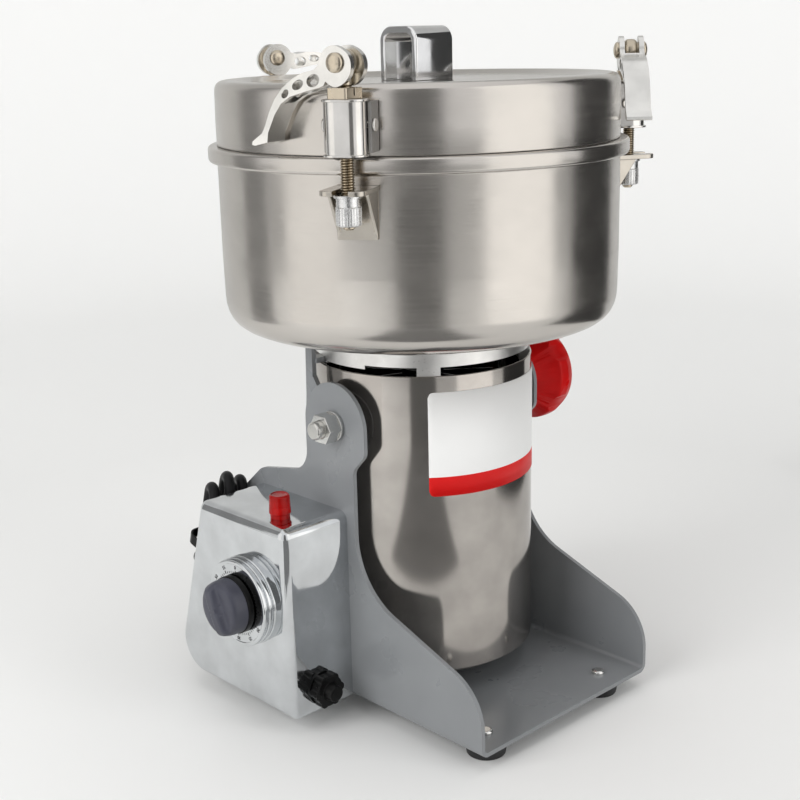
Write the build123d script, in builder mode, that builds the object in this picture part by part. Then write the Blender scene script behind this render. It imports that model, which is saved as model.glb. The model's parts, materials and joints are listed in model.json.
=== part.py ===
"""Electric grain mill: a closed grinding bowl on a tall motor barrel that tips in a U-shaped stand.

Millimetres, +Z up, z = 0 on the table under the rubber feet. Everything is modelled about the
motor axis, and `footprint_shift` then moves that axis so that the origin is the footprint's centre.
-Y is the open front of the stand, -X is the side with the control box.
"""

import os
from math import atan2, cos, degrees, pi, radians, sin, tan

from build123d import *

# ---------------------------------------------------------------- driving dimensions
footprint_shift = (9.62, -10.75, 0.0)  # from the motor axis to the middle of the whole footprint

seat_gap = 0.3  # between pieces on different bodies that face each other
running_gap = 0.05  # radial, shaft in bearing or bush
bolt_gap = 0.3  # radial, bolt in a drilled hole
snug_gap = 0.02  # radial, pieces pressed together on one body

foot_height = 8.5
foot_radius = 12.0
foot_inset_left = 19.3  # foot centre in from the stand's side, under the control box's wall
foot_inset_right = 25.3
foot_front_inset = 15.0  # foot centre back from the stand's front edge
foot_screw = 2.0
stand_thickness = 2.5
stand_front = 110.0
stand_rear = 86.0
stand_bend = 5.0
pivot_height = 168.0
pivot_forward = 2.0
ear_radius = 24.0
neck_front = 16.5  # front edge of the narrow neck under the ear
neck_drop = 37.0  # from the pivot down to the foot of the neck
slope_rear_rise = 67.0  # the front wall's sloping edge above the floor, at the neck
slope_front_rise = 33.0  # and at the stand's front edge
stud_radius = 5.0
stud_reach = 15.2  # stud end beyond the stand's wall

barrel_radius = 62.3
barrel_wall = 1.5
barrel_bottom = 24.0
barrel_top = 197.3
cover_lip = 3.0
arm_offset = 1.7  # hanger plate off the barrel's side
arm_thickness = 3.0
arm_wall_gap = 0.8  # between a hanger plate and the stand's wall

bell_ring_bottom = 201.9
bell_ring_height = 7.0
bell_ring_width = 6.3
bell_post_width = 12.7
bell_post_angle = 48.5  # one full post stands here, its twin opposite
bell_land_half = 40.5  # half of the arc of a raised land, which stands across from the posts
bell_tab_half = 15.3
bell_tab_lift = 2.5  # foot of a tab above the barrel's top edge

bowl_radius = 110.0
bowl_wall = 1.5
bowl_bottom = 217.2
bowl_corner = 17.0
rim_overhang = 4.8
rim_bottom = 308.3
rim_height = 8.4

lid_height = 33.6
lid_corner = 9.0
lid_dish = 2.5
lid_rim_width = 18.0  # raised rim of the lid's top
handle_width = 27.5
handle_span = 28.4
handle_height = 28.4
handle_thickness = 4.0

clamp_standoff = 14.0  # rod axis off the bowl's wall
clamp_count = 3
clamp_first_angle = 90.0  # the rear clamp
clamp_turn = 17.0  # lever pins stand this far off the radial direction
clamp_names = ("rear", "left", "right")
lever_lifts = (22.0, 0.0, 3.0)  # how far each lever is short of fully down
rod_radius = 3.5
pin_radius = 4.0
pin_head_radius = 4.6
eye_radius = 10.8
cam_drop = 0.025  # how much the eye shrinks per degree of lever travel
lever_width = 13.5
lever_cheek = 2.8
sleeve_across = 19.6
sleeve_deep = 15.0
sleeve_height = 26.2
sleeve_wall = 1.5
sleeve_corner = 7.0
sleeve_flange = 0.9  # end plates stand this far out all round
sleeve_plate = 1.2
saddle_height = 5.2
hook_drop = 4.9  # hook plate under the bowl's rim
hook_thickness = 2.5
hook_margin = 12.3  # hook plate beyond the rod's axis
hook_width = 22.6
hook_corner = 5.0
hook_back_width = 20.4
hook_back_height = 23.5
nut_radius = 6.2
nut_flange = 0.8
nut_height = 14.7
rod_below_nut = 2.0

box_depth = 44.7
box_front = 10.0  # front face, this far in front of the motor axis
box_rear_top = 66.0
box_rear_bottom = 98.5
box_bottom = 10.5
box_top = 120.5
box_wall = 1.2
box_edge = 5.5
box_rear_corner = 19.0

timer_y = 22.0
timer_z = 74.0
dial_radius = 24.6
dial_depth = 9.5
knob_radius = 15.7
knob_depth = 13.0
skirt_radius = 16.3
skirt_depth = 3.3
knob_shaft_radius = 3.0

pilot_inset = 14.5  # in from the box's outer face
pilot_y = 10.2
pilot_radius = 6.1
pilot_height = 13.5

fuse_inset = 22.0  # in from the box's outer face
fuse_z = 23.3
fuse_cap_radius = 10.2
fuse_cap_depth = 6.0
fuse_stub_radius = 5.1
fuse_stub_depth = 5.5
fuse_collar = 1.0

star_radius = 29.0
star_hub_radius = 14.0
star_face_radius = 26.0
star_depth = 31.0
star_waist = 17.4  # depth at which the knob reaches its full radius
star_flutes = 5
star_flute_radius = 14.0
star_flute_depth = 2.6

shaft_radius = 6.0
blade_shaft_radius = 5.0
armature_radius = 26.0
stack_bottom = 95.0
stack_height = 50.0
stator_radius = 50.0

cord_radius = 3.2
gland_inset = 7.7  # out from the stand's wall
gland_z = 46.0
gland_length = 20.0
hank_width = 30.6
hank_thickness = 19.0
hank_bottom = 56.0
hank_top = 125.0
hank_inset = 28.0  # in from the box's outer face
hank_standoff = 1.3  # the tie's thickness and a little more, off the box's sloping face
lead_side = -10.4  # where the cord enters the hank, across it from its middle
tail_side = -2.2

# ---------------------------------------------------------------- derived places
arm_in = barrel_radius + arm_offset
wall_in = arm_in + arm_thickness + arm_wall_gap
wall_out = wall_in + stand_thickness
stand_width = 2 * wall_out
floor_top = foot_height + stand_thickness
neck_bottom = pivot_height - neck_drop
foot_xs = (-wall_out + foot_inset_left, wall_out - foot_inset_right)
foot_ys = (-stand_front + foot_front_inset, stand_rear - foot_front_inset)
foot_places = [(x, y) for x in foot_xs for y in foot_ys]

bell_ring_top = bell_ring_bottom + bell_ring_height
bell_radius = barrel_radius - 1.0
barrel_bore = barrel_radius - barrel_wall
four_ways = [bell_post_angle + quarter * 90 for quarter in range(4)]
post_angles = (four_ways[0], four_ways[2])
land_angles = (four_ways[1], four_ways[3])

bowl_bore = bowl_radius - bowl_wall
rim_radius = bowl_radius + rim_overhang
lid_dish_radius = bowl_radius - lid_rim_width
clamp_radius = bowl_radius + clamp_standoff
rim_top = rim_bottom + rim_height
lid_bottom = rim_top + seat_gap
lid_top = lid_bottom + lid_height
lid_plate_top = lid_top - lid_dish

sleeve_bottom = lid_bottom + 1.2
sleeve_top = sleeve_bottom + sleeve_height
saddle_top = sleeve_top + saddle_height
pin_height = saddle_top + seat_gap + eye_radius
hook_top = rim_bottom - hook_drop
hook_bottom = hook_top - hook_thickness
bracket_face = bowl_radius + seat_gap  # where the clamp's plates stand off the round walls
hook_reach = clamp_radius - bracket_face + hook_margin

box_out = -wall_out - box_depth
box_front_y = -box_front
pilot_x = box_out + pilot_inset
fuse_x = box_out + fuse_inset
gland_x = -wall_out - gland_inset
hank_x = box_out + hank_inset
rear_lean = atan2(box_rear_bottom - box_rear_top, box_top - box_bottom)

pivot = (0, -pivot_forward, pivot_height)


def clamp_angle(index):
    """Direction of a clamp from the motor axis, in degrees from +X."""
    return clamp_first_angle + index * 360 / clamp_count


def radial(angle, distance, z=0.0):
    """The point at this distance from the motor axis in this direction."""
    return (distance * cos(radians(angle)), distance * sin(radians(angle)), z)


def rear_face_y(z):
    """Where the control box's sloping rear face stands at height z."""
    return box_rear_top + (box_top - z) * tan(rear_lean)


def ring(outer, inner, bottom, top):
    """A plain ring about the motor axis, added to the part being built."""
    with BuildSketch(Plane.XY.offset(bottom)) as section:
        Circle(outer)
        Circle(inner, mode=Mode.SUBTRACT)
    extrude(section.sketch, amount=top - bottom)


def ring_piece(outer, inner, middle, half_angle, bottom, top):
    """A stretch of a ring, its middle in this direction, added to the part being built."""
    edges = [radial(middle + side * half_angle, 2 * outer)[:2] for side in (-1, 1)]
    with BuildSketch(Plane.XY.offset(bottom)) as section:
        Circle(outer)
        Circle(inner, mode=Mode.SUBTRACT)
        with BuildLine():
            Polyline((0, 0), *edges, close=True)
        make_face(mode=Mode.INTERSECT)
    extrude(section.sketch, amount=top - bottom)


# ---------------------------------------------------------------- stand
with BuildPart() as base_bracket:
    # A bent channel: floor and two side walls, cut to the walls' outline.
    tall = pivot_height + ear_radius + 1
    with BuildSketch(Plane.XZ) as channel:
        with BuildLine():
            Polyline(
                (-wall_out, tall),
                (-wall_out, foot_height),
                (wall_out, foot_height),
                (wall_out, tall),
                (wall_in, tall),
                (wall_in, floor_top),
                (-wall_in, floor_top),
                (-wall_in, tall),
                close=True,
            )
        make_face()
        outer_bends = channel.vertices().filter_by(lambda v: v.Y < foot_height + 0.1)
        fillet(outer_bends, stand_bend)
        inner_bends = channel.vertices().filter_by(lambda v: abs(v.Y - floor_top) < 0.1)
        fillet(inner_bends, stand_bend - stand_thickness)
    extrude(amount=stand_front + stand_rear, both=True)
    slope_start = floor_top + slope_rear_rise
    slope_end = floor_top + slope_front_rise
    with BuildSketch(Plane.YZ) as wall_outline:
        with BuildLine():
            Polyline(
                (-stand_front, 0),
                (-stand_front, slope_end),
                (-neck_front, slope_start),
                (-neck_front, neck_bottom + 14),
                (-pivot_forward - ear_radius, neck_bottom + 24),
                (-pivot_forward - ear_radius, pivot_height),
                (-pivot_forward + ear_radius, pivot_height),
                (-pivot_forward + ear_radius, neck_bottom + 7),
                (stand_rear - 22, neck_bottom - 1),
                (stand_rear, neck_bottom - 20),
                (stand_rear, 0),
                close=True,
            )
        make_face()
        fillet(wall_outline.vertices().sort_by_distance((-stand_front, slope_end))[0], 30)
        fillet(wall_outline.vertices().sort_by_distance((-neck_front, slope_start))[0], 42)
        neck_corners = wall_outline.vertices().filter_by(
            lambda v: v.X < 0 and neck_bottom + 10 < v.Y < neck_bottom + 26
        )
        fillet(neck_corners, 7)
        rear_neck = (ear_radius - pivot_forward, neck_bottom + 7)
        rear_corner = wall_outline.vertices().sort_by_distance(rear_neck)[0]
        fillet(rear_corner, 14)
        rear_round = wall_outline.vertices().filter_by(
            lambda v: v.X > stand_rear - 25 and v.Y > neck_bottom - 30
        )
        fillet(rear_round, 13)
        with Locations((-pivot_forward, pivot_height)):
            Circle(ear_radius)
    extrude(amount=stand_width, both=True, mode=Mode.INTERSECT)
    with BuildSketch(Plane.YZ):
        with Locations((-pivot_forward, pivot_height)):
            Circle(stud_radius + running_gap)
    extrude(amount=stand_width, both=True, mode=Mode.SUBTRACT)
    with BuildSketch(Plane.XY):
        with Locations(*foot_places):
            Circle(foot_screw + bolt_gap)
    extrude(amount=floor_top + 1, mode=Mode.SUBTRACT)

with BuildPart() as rubber_feet:
    foot_bore = foot_screw + snug_gap
    for place in foot_places:
        with Locations((*place, 0)):
            Cone(foot_radius - 1.5, foot_radius, foot_height, align=(Align.CENTER, Align.CENTER, Align.MIN))
    foot_rims = rubber_feet.edges().filter_by(GeomType.CIRCLE).group_by(Axis.Z)[0]
    fillet(foot_rims, 1.0)
    with BuildSketch(Plane.XY.offset(2)):
        with Locations(*foot_places):
            Circle(foot_bore)
    extrude(amount=foot_height, mode=Mode.SUBTRACT)

with BuildPart() as foot_screws:
    head_height = 2.2
    for place in foot_places:
        with Locations((*place, floor_top)):
            Cylinder(3.8, head_height, align=(Align.CENTER, Align.CENTER, Align.MIN))
        with Locations((*place, 2.5)):
            Cylinder(foot_screw, floor_top - 2.5, align=(Align.CENTER, Align.CENTER, Align.MIN))
    crowns = foot_screws.edges().filter_by(GeomType.CIRCLE).group_by(Axis.Z)[-1]
    fillet(crowns, 1.4)

# ---------------------------------------------------------------- control box
timer_place = (box_out, timer_y, timer_z)
fuse_place = (fuse_x, box_front_y, fuse_z)
gland_seat = (gland_x, rear_face_y(gland_z), gland_z)
gland_plane = Plane(origin=gland_seat, x_dir=(1, 0, 0), z_dir=(0, cos(rear_lean), sin(rear_lean)))
timer_plane = Plane(origin=timer_place, x_dir=(0, 1, 0), z_dir=(-1, 0, 0))
fuse_plane = Plane(origin=fuse_place, x_dir=(1, 0, 0), z_dir=(0, -1, 0))
pilot_plane = Plane(origin=(pilot_x, pilot_y, box_top), x_dir=(1, 0, 0), z_dir=(0, 0, 1))

pilot_neck = 4.5
fuse_neck = 6.0
fuse_bore = 3.4
gland_neck = 5.5

with BuildPart() as control_box_cover:
    with BuildSketch(Plane.YZ.offset(box_out)) as box_side:
        with BuildLine():
            Polyline(
                (box_front_y, box_bottom),
                (box_front_y, box_top),
                (box_rear_top, box_top),
                (box_rear_bottom, box_bottom),
                close=True,
            )
        make_face()
        rear_foot = box_side.vertices().sort_by_distance((box_rear_bottom, box_bottom))[0]
        fillet(rear_foot, box_rear_corner)
        fillet(box_side.vertices().group_by(Axis.Y)[-1], box_edge)
    extrude(amount=box_depth)
    outer_face = control_box_cover.faces().sort_by(Axis.X)[0]
    fillet(outer_face.edges(), box_edge - 0.5)
    open_face = control_box_cover.faces().sort_by(Axis.X)[-1]
    offset(amount=-box_wall, openings=open_face)
    with BuildSketch(timer_plane):
        Circle(knob_shaft_radius + 2)
    extrude(amount=-2 * box_wall, both=True, mode=Mode.SUBTRACT)
    with BuildSketch(pilot_plane):
        Circle(pilot_neck + bolt_gap)
    extrude(amount=2 * box_wall, both=True, mode=Mode.SUBTRACT)
    with BuildSketch(fuse_plane):
        Circle(fuse_neck + bolt_gap)
    extrude(amount=2 * box_wall, both=True, mode=Mode.SUBTRACT)
    with BuildSketch(gland_plane):
        Circle(gland_neck + bolt_gap)
    extrude(amount=2 * box_wall, both=True, mode=Mode.SUBTRACT)

with BuildPart() as timer_body:
    timer_size = 40.0
    timer_deep = 28.0
    inner_plane = timer_plane.offset(-box_wall - timer_deep)
    with BuildSketch(inner_plane):
        RectangleRounded(timer_size, timer_size, 4)
    extrude(amount=timer_deep)
    with BuildSketch(timer_plane.offset(-box_wall - 12)):
        Circle(knob_shaft_radius + running_gap)
    extrude(amount=12 + box_wall, mode=Mode.SUBTRACT)

with BuildPart() as timer_dial:
    # Three stacked rings under a flat scale plate.
    with BuildSketch(timer_plane):
        Circle(dial_radius + 0.4)
    extrude(amount=dial_depth * 0.3)
    with BuildSketch(timer_plane.offset(dial_depth * 0.3)):
        Circle(dial_radius - 0.8)
    extrude(amount=0.6)
    with BuildSketch(timer_plane.offset(dial_depth * 0.3 + 0.6)):
        Circle(dial_radius + 0.1)
    extrude(amount=dial_depth * 0.3)
    with BuildSketch(timer_plane.offset(dial_depth * 0.6 + 0.6)):
        Circle(dial_radius - 0.9)
    extrude(amount=0.5)
    with BuildSketch(timer_plane.offset(dial_depth * 0.6 + 1.1)):
        Circle(dial_radius)
    extrude(amount=dial_depth * 0.4 - 1.1)
    face_rim = timer_dial.edges().filter_by(GeomType.CIRCLE).group_by(Axis.X)[0]
    chamfer(face_rim, 0.8)
    with BuildSketch(timer_plane):
        Circle(knob_shaft_radius + 2)
    extrude(amount=dial_depth, mode=Mode.SUBTRACT)

with BuildPart() as timer_knob:
    knob_plane = timer_plane.offset(dial_depth + seat_gap)
    with BuildSketch(knob_plane):
        Circle(skirt_radius)
    extrude(amount=skirt_depth)
    with BuildSketch(knob_plane.offset(skirt_depth)):
        Circle(knob_radius)
    extrude(amount=knob_depth, taper=6)
    knob_crown = timer_knob.edges().filter_by(GeomType.CIRCLE).group_by(Axis.X)[0]
    fillet(knob_crown, 4.0)
    # Finger flats leave a pointer ridge across the knob.
    ridge_half = 3.2
    for side in (-1, 1):
        with BuildSketch(knob_plane.offset(skirt_depth + knob_depth)):
            with Locations((side * (ridge_half + knob_radius / 2 + 1.5), 0)):
                Rectangle(knob_radius + 3, 2 * knob_radius + 2)
        extrude(amount=-knob_depth * 0.45, mode=Mode.SUBTRACT)
    with BuildSketch(timer_plane.offset(-box_wall - 11.5)):
        Circle(knob_shaft_radius)
    extrude(amount=11.5 + box_wall + dial_depth + seat_gap + 2)

with BuildPart() as pilot_lamp:
    with BuildSketch(pilot_plane.offset(-20)):
        Circle(pilot_neck)
    extrude(amount=21)
    with BuildSketch(pilot_plane):
        Circle(pilot_radius - 0.6)
    extrude(amount=2.2)
    with BuildSketch(pilot_plane.offset(2.2)):
        Circle(pilot_radius)
    extrude(amount=pilot_height - 2.2, taper=3)
    lens_crown = pilot_lamp.edges().filter_by(GeomType.CIRCLE).group_by(Axis.Z)[-1]
    fillet(lens_crown, 1.2)

with BuildPart() as fuse_holder:
    with BuildSketch(fuse_plane):
        Circle(fuse_cap_radius - 0.5)
    extrude(amount=fuse_collar)
    with BuildSketch(fuse_plane.offset(-26)):
        Circle(fuse_neck)
    extrude(amount=26)
    with BuildSketch(fuse_plane.offset(-box_wall - 3)):
        RegularPolygon(radius=9, side_count=6)
        Circle(fuse_neck, mode=Mode.SUBTRACT)
    extrude(amount=3)
    with BuildSketch(fuse_plane.offset(-22)):
        Circle(fuse_bore)
    extrude(amount=22 + fuse_collar, mode=Mode.SUBTRACT)

with BuildPart() as fuse_cap:
    cap_plane = fuse_plane.offset(fuse_collar + seat_gap)
    lobe = 2.6
    with BuildSketch(cap_plane):
        Circle(fuse_cap_radius - 1.4)
        with PolarLocations(fuse_cap_radius - lobe, 6):
            Circle(lobe)
    extrude(amount=fuse_cap_depth)
    with BuildSketch(cap_plane.offset(fuse_cap_depth)):
        Circle(fuse_stub_radius)
    extrude(amount=fuse_stub_depth, taper=8)
    with BuildSketch(fuse_plane.offset(-4)):
        Circle(fuse_bore - running_gap)
    extrude(amount=5 + fuse_collar + seat_gap)

# ---------------------------------------------------------------- mains cord
with BuildPart() as cord_gland:
    with BuildSketch(gland_plane):
        Circle(7.2)
    extrude(amount=3)
    with BuildSketch(gland_plane.offset(3)):
        Circle(5.6)
    extrude(amount=gland_length - 3, taper=4)
    with BuildSketch(gland_plane.offset(-9)):
        Circle(gland_neck)
    extrude(amount=9)

lead_start = (gland_plane * Location((0, 0, gland_length))).position
hank_plane = Plane(
    origin=(
        hank_x,
        rear_face_y(hank_bottom) + (hank_thickness / 2 + hank_standoff) / cos(rear_lean),
        hank_bottom,
    ),
    x_dir=(1, 0, 0),
    z_dir=(0, -sin(rear_lean), cos(rear_lean)),
)
on_table = cord_radius + 0.4
lead_points = [
    tuple(lead_start),
    tuple((gland_plane * Location((0, 0, gland_length + 14))).position),
    (-72.5, 133.5, 56.0),
    (-61.0, 143.5, 52.5),
    (-46.0, 151.0, 45.0),
    (-30.0, 157.5, 35.5),
    (-14.0, 164.0, 24.5),
    (1.5, 170.0, 13.0),
    (18.0, 173.0, 5.5),
    (36.5, 168.5, on_table),
    (50.0, 155.5, on_table),
    (55.0, 137.5, on_table),
    (50.5, 119.5, on_table),
    (37.5, 106.0, on_table),
    (19.5, 101.0, on_table),
    (-8.0, 101.5, on_table),
    (-36.0, 103.5, on_table),
    (-62.0, 105.5, 3.9),
    (-80.0, 106.5, 8.5),
    (-92.5, 106.0, 20.0),
    tuple((hank_plane * Location((lead_side, 0, -19.0))).position),
    tuple((hank_plane * Location((lead_side, 0, 0))).position),
]
tail_points = [
    tuple((hank_plane * Location((tail_side, 0, 0))).position),
    tuple((hank_plane * Location((tail_side, 0, -18.0))).position),
    (-84.5, 108.5, 22.5),
    (-72.5, 113.0, 11.5),
    (-56.0, 117.0, 10.0),
    (-38.0, 119.5, 10.0),
]


def corner_radii(points):
    """Bend radius at each corner of a cord's route: 0.45 of the shorter run over half the turn."""
    radii = []
    for before, here, after in zip(points, points[1:], points[2:]):
        run_in = Vector(*here) - Vector(*before)
        run_out = Vector(*after) - Vector(*here)
        turn = run_in.get_angle(run_out)
        radii.append(0.45 * min(run_in.length, run_out.length) / tan(radians(turn) / 2))
    return radii


with BuildPart() as power_cord:
    for points in (lead_points, tail_points):
        radii = corner_radii(points)
        print("cord radii", [round(r) for r in radii])
        with BuildLine() as cord_route:
            FilletPolyline(*points, radius=radii)
        route = cord_route.wire()
        with BuildSketch(Plane(origin=route @ 0, z_dir=route % 0)):
            Circle(cord_radius)
        sweep(path=route)
        print("cord length", round(route.length, 1), "tube", round(route.length * pi * cord_radius**2))
print("cord volume", round(power_cord.part.volume))

with BuildPart() as cord_hank:
    # The outer shape of the folded cord, leaning on the box's sloping rear face.
    hank_length = (hank_top - hank_bottom) / cos(rear_lean)
    with BuildSketch(hank_plane):
        RectangleRounded(hank_width, hank_thickness, 5)
    extrude(amount=hank_length)
    hank_ends = cord_hank.faces().sort_by(Axis.Z)[-1].edges()
    fillet(hank_ends, 4)

with BuildPart() as cord_tie:
    with BuildSketch(hank_plane.offset(hank_length * 0.38)):
        RectangleRounded(hank_width + 2.0, hank_thickness + 2.0, 6)
        RectangleRounded(hank_width, hank_thickness, 5, mode=Mode.SUBTRACT)
    extrude(amount=6)

plug_start = tail_points[-1]
plug_heading = Vector(*tail_points[-1]) - Vector(*tail_points[-2])
plug_plane = Plane(origin=plug_start, x_dir=(plug_heading.Y, -plug_heading.X, 0), z_dir=plug_heading)
with BuildPart() as power_plug:
    with BuildSketch(plug_plane):
        Circle(cord_radius + 1.2)
    with BuildSketch(plug_plane.offset(14)):
        Circle(cord_radius + 2.6)
    loft()
    with BuildSketch(plug_plane.offset(14)):
        RectangleRounded(17, 14, 5)
    with BuildSketch(plug_plane.offset(30)):
        RectangleRounded(26, 20, 6)
    loft()
    with BuildSketch(plug_plane.offset(30)):
        RectangleRounded(26, 20, 6)
    extrude(amount=8)
    with BuildSketch(plug_plane.offset(38)):
        with GridLocations(19, 1, 2, 1):
            Circle(2.4)
    extrude(amount=19)

# ---------------------------------------------------------------- motor housing
with BuildPart() as motor_shell:
    ring(barrel_radius, barrel_bore, barrel_bottom + cover_lip, barrel_top)

with BuildPart() as bottom_cover:
    with BuildSketch(Plane.XZ):
        with BuildLine():
            Polyline(
                (0, barrel_bottom),
                (barrel_bore, barrel_bottom),
                (barrel_bore, barrel_bottom + cover_lip),
                (barrel_bore - seat_gap, barrel_bottom + cover_lip),
                (barrel_bore - seat_gap, barrel_bottom + 12),
                (barrel_bore - 1.8, barrel_bottom + 12),
                (barrel_bore - 1.8, barrel_bottom + 1.5),
                (0, barrel_bottom + 1.5),
                close=True,
            )
        make_face()
    revolve(axis=Axis.Z)
    lowest_rings = bottom_cover.edges().filter_by(GeomType.CIRCLE).group_by(Axis.Z)[0]
    cover_edge = lowest_rings.sort_by(SortBy.RADIUS)[-1]
    fillet(cover_edge, cover_lip - 0.1)
    with BuildSketch(Plane.XY.offset(barrel_bottom - 1)):
        with PolarLocations(34, 12):
            SlotOverall(26, 5)
    extrude(amount=4, mode=Mode.SUBTRACT)

hub_radius = 24.0
bearing_radius = 14.0
bearing_width = 8.0
bearing_bottom = bell_ring_bottom + 0.5
tie_radius = stator_radius - 4.5
tie_bolt = 2.5
arm_screw = 1.75
arm_screw_radius = bell_radius - 4.0
arm_screw_turn = 21.0  # direction from the pivot's line, towards the rear
arm_screw_angles = (arm_screw_turn, 180 - arm_screw_turn)
bowl_screw = 2.5
bowl_screw_radius = 37.0
with BuildPart() as end_bell:
    # A ring on the barrel's top edge, raised towards the bowl in two lands and two narrow posts.
    bell_inner = bell_radius - bell_ring_width
    spigot = barrel_bore - snug_gap
    ring(bell_radius, bell_inner, bell_ring_bottom, bell_ring_top)
    for angle in land_angles:
        ring_piece(bell_radius, bell_inner, angle, bell_land_half, bell_ring_top, bowl_bottom)
    for angle in (0, 180):
        ring_piece(bell_radius, bell_inner, angle, bell_tab_half, barrel_top + bell_tab_lift, bell_ring_top)
    post_half = degrees(bell_post_width / 2 / bell_radius)
    for angle in post_angles:
        ring_piece(bell_radius, bell_inner, angle, post_half, barrel_top, bowl_bottom)
    for angle in four_ways:
        ring_piece(bell_radius, bell_inner, angle, post_half, barrel_top, bell_ring_top)
        ring_piece(spigot, bell_inner, angle, post_half, barrel_top - 6, barrel_top)
    ring(hub_radius, shaft_radius + 1.5, bearing_bottom, bowl_bottom)
    for angle in four_ways:
        spoke_plane = Plane(origin=(0, 0, bell_ring_bottom + 5), x_dir=radial(angle, 1), z_dir=(0, 0, 1))
        with BuildSketch(spoke_plane):
            with Locations(((hub_radius + bell_inner) / 2, 0)):
                Rectangle(bell_inner - hub_radius + 6, bell_post_width)
        extrude(amount=bowl_bottom - bell_ring_bottom - 5)
    with BuildSketch(Plane.XY.offset(bearing_bottom)):
        Circle(bearing_radius + snug_gap)
    extrude(amount=bearing_width, mode=Mode.SUBTRACT)
    with BuildSketch(Plane.XY.offset(bell_ring_bottom)):
        with PolarLocations(tie_radius, 4, start_angle=bell_post_angle):
            Circle(tie_bolt + snug_gap)
    extrude(amount=11, mode=Mode.SUBTRACT)
    with BuildSketch(Plane.XY.offset(bell_ring_bottom)):
        with Locations(*[radial(angle, arm_screw_radius)[:2] for angle in arm_screw_angles]):
            Circle(arm_screw + snug_gap)
    extrude(amount=6, mode=Mode.SUBTRACT)
    with BuildSketch(Plane.XY.offset(bowl_bottom - 7)):
        with PolarLocations(bowl_screw_radius, 4, start_angle=bell_post_angle):
            Circle(bowl_screw + snug_gap)
    extrude(amount=7, mode=Mode.SUBTRACT)

bracket_z = 44.0
bracket_height = 6.0
lower_bearing_radius = 13.0
with BuildPart() as lower_bracket:
    bracket_ring_in = barrel_bore - 12
    spoke_in = 17.0
    spoke_out = bracket_ring_in + 2.2
    ring(20, blade_shaft_radius + 1.5, bracket_z - 6, bracket_z + bracket_height)
    for angle in four_ways:
        with BuildSketch(Plane(origin=(0, 0, bracket_z), x_dir=radial(angle, 1), z_dir=(0, 0, 1))):
            with Locations(((spoke_in + spoke_out) / 2, 0)):
                Rectangle(spoke_out - spoke_in, 14)
        extrude(amount=bracket_height)
    ring(barrel_bore - snug_gap, bracket_ring_in, bracket_z, bracket_z + bracket_height)
    with BuildSketch(Plane.XY.offset(bracket_z - 4)):
        Circle(lower_bearing_radius + snug_gap)
    extrude(amount=bearing_width, mode=Mode.SUBTRACT)
    with BuildSketch(Plane.XY.offset(bracket_z - 1)):
        with PolarLocations(tie_radius, 4, start_angle=bell_post_angle):
            Circle(tie_bolt + snug_gap)
    extrude(amount=bracket_height + 2, mode=Mode.SUBTRACT)

upright = (Align.CENTER, Align.CENTER, Align.MIN)
with BuildPart() as tie_bolts:
    tie_head = 4.0
    for angle in four_ways:
        with Locations(radial(angle, tie_radius, bracket_z - tie_head)):
            Cylinder(4.3, tie_head, align=upright)
            Cylinder(tie_bolt, bell_ring_bottom + 10.5 - bracket_z + tie_head, align=upright)

stack_top = stack_bottom + stack_height
with BuildPart() as stator_core:
    with BuildSketch(Plane.XY.offset(stack_bottom)):
        Circle(stator_radius)
        Circle(armature_radius + 1, mode=Mode.SUBTRACT)
        with PolarLocations(tie_radius, 4, start_angle=bell_post_angle):
            Circle(tie_bolt + snug_gap, mode=Mode.SUBTRACT)
    extrude(amount=stack_height)

with BuildPart() as stator_windings:
    ring(41, armature_radius + 3, stack_bottom - 14, stack_bottom)
    ring(41, armature_radius + 3, stack_top, stack_top + 14)
    winding_edges = stator_windings.edges().filter_by(GeomType.CIRCLE)
    ends = winding_edges.group_by(Axis.Z)
    fillet(ends[0] + ends[-1], 4)

brush_z = 69.0
brush_angles = post_angles
with BuildPart() as brush_holders:
    for angle in brush_angles:
        holder_plane = Plane(
            origin=radial(angle, 18.5, 0), x_dir=radial(angle + 90, 1), z_dir=radial(angle, 1)
        )
        with BuildSketch(holder_plane):
            with Locations((0, (bracket_z + bracket_height + brush_z + 7) / 2)):
                Rectangle(13, brush_z + 7 - bracket_z - bracket_height)
        extrude(amount=22)
        with BuildSketch(holder_plane):
            with Locations((0, brush_z)):
                Rectangle(6.5, 8.5)
        extrude(amount=22, mode=Mode.SUBTRACT)

with BuildPart() as carbon_brushes:
    commutator_radius = 15.0
    for angle in brush_angles:
        brush_plane = Plane(
            origin=radial(angle, commutator_radius + seat_gap, brush_z),
            x_dir=radial(angle + 90, 1),
            z_dir=radial(angle, 1),
        )
        with BuildSketch(brush_plane):
            Rectangle(6.1, 8.1)
        extrude(amount=20)

with BuildPart() as ball_bearings:
    ring(bearing_radius, shaft_radius + running_gap, bearing_bottom, bearing_bottom + bearing_width)
    ring(
        lower_bearing_radius,
        blade_shaft_radius + running_gap,
        bracket_z - 4,
        bracket_z - 4 + bearing_width - 0.5,
    )

# ---------------------------------------------------------------- rotor
shaft_step = stack_bottom - 30
blade_floor = bowl_bottom + bowl_wall
blade_z = blade_floor + 9.0
blade_pitch = 17.0
blade_thickness = 3.0
shaft_top = blade_z + blade_pitch + blade_thickness + 11

with BuildPart() as rotor_shaft:
    with Locations((0, 0, bracket_z - 5)):
        Cylinder(blade_shaft_radius, shaft_step - bracket_z + 5, align=upright)
    with Locations((0, 0, shaft_step)):
        Cylinder(shaft_radius, blade_z - shaft_step, align=upright)
    with Locations((0, 0, blade_z)):
        Cylinder(blade_shaft_radius, shaft_top - blade_z, align=upright)

with BuildPart() as armature_core:
    with BuildSketch(Plane.XY.offset(stack_bottom)):
        Circle(armature_radius)
        Circle(shaft_radius + snug_gap, mode=Mode.SUBTRACT)
        with PolarLocations(armature_radius - 4, 12):
            SlotOverall(7, 2.4, mode=Mode.SUBTRACT)
    extrude(amount=stack_height)

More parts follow.
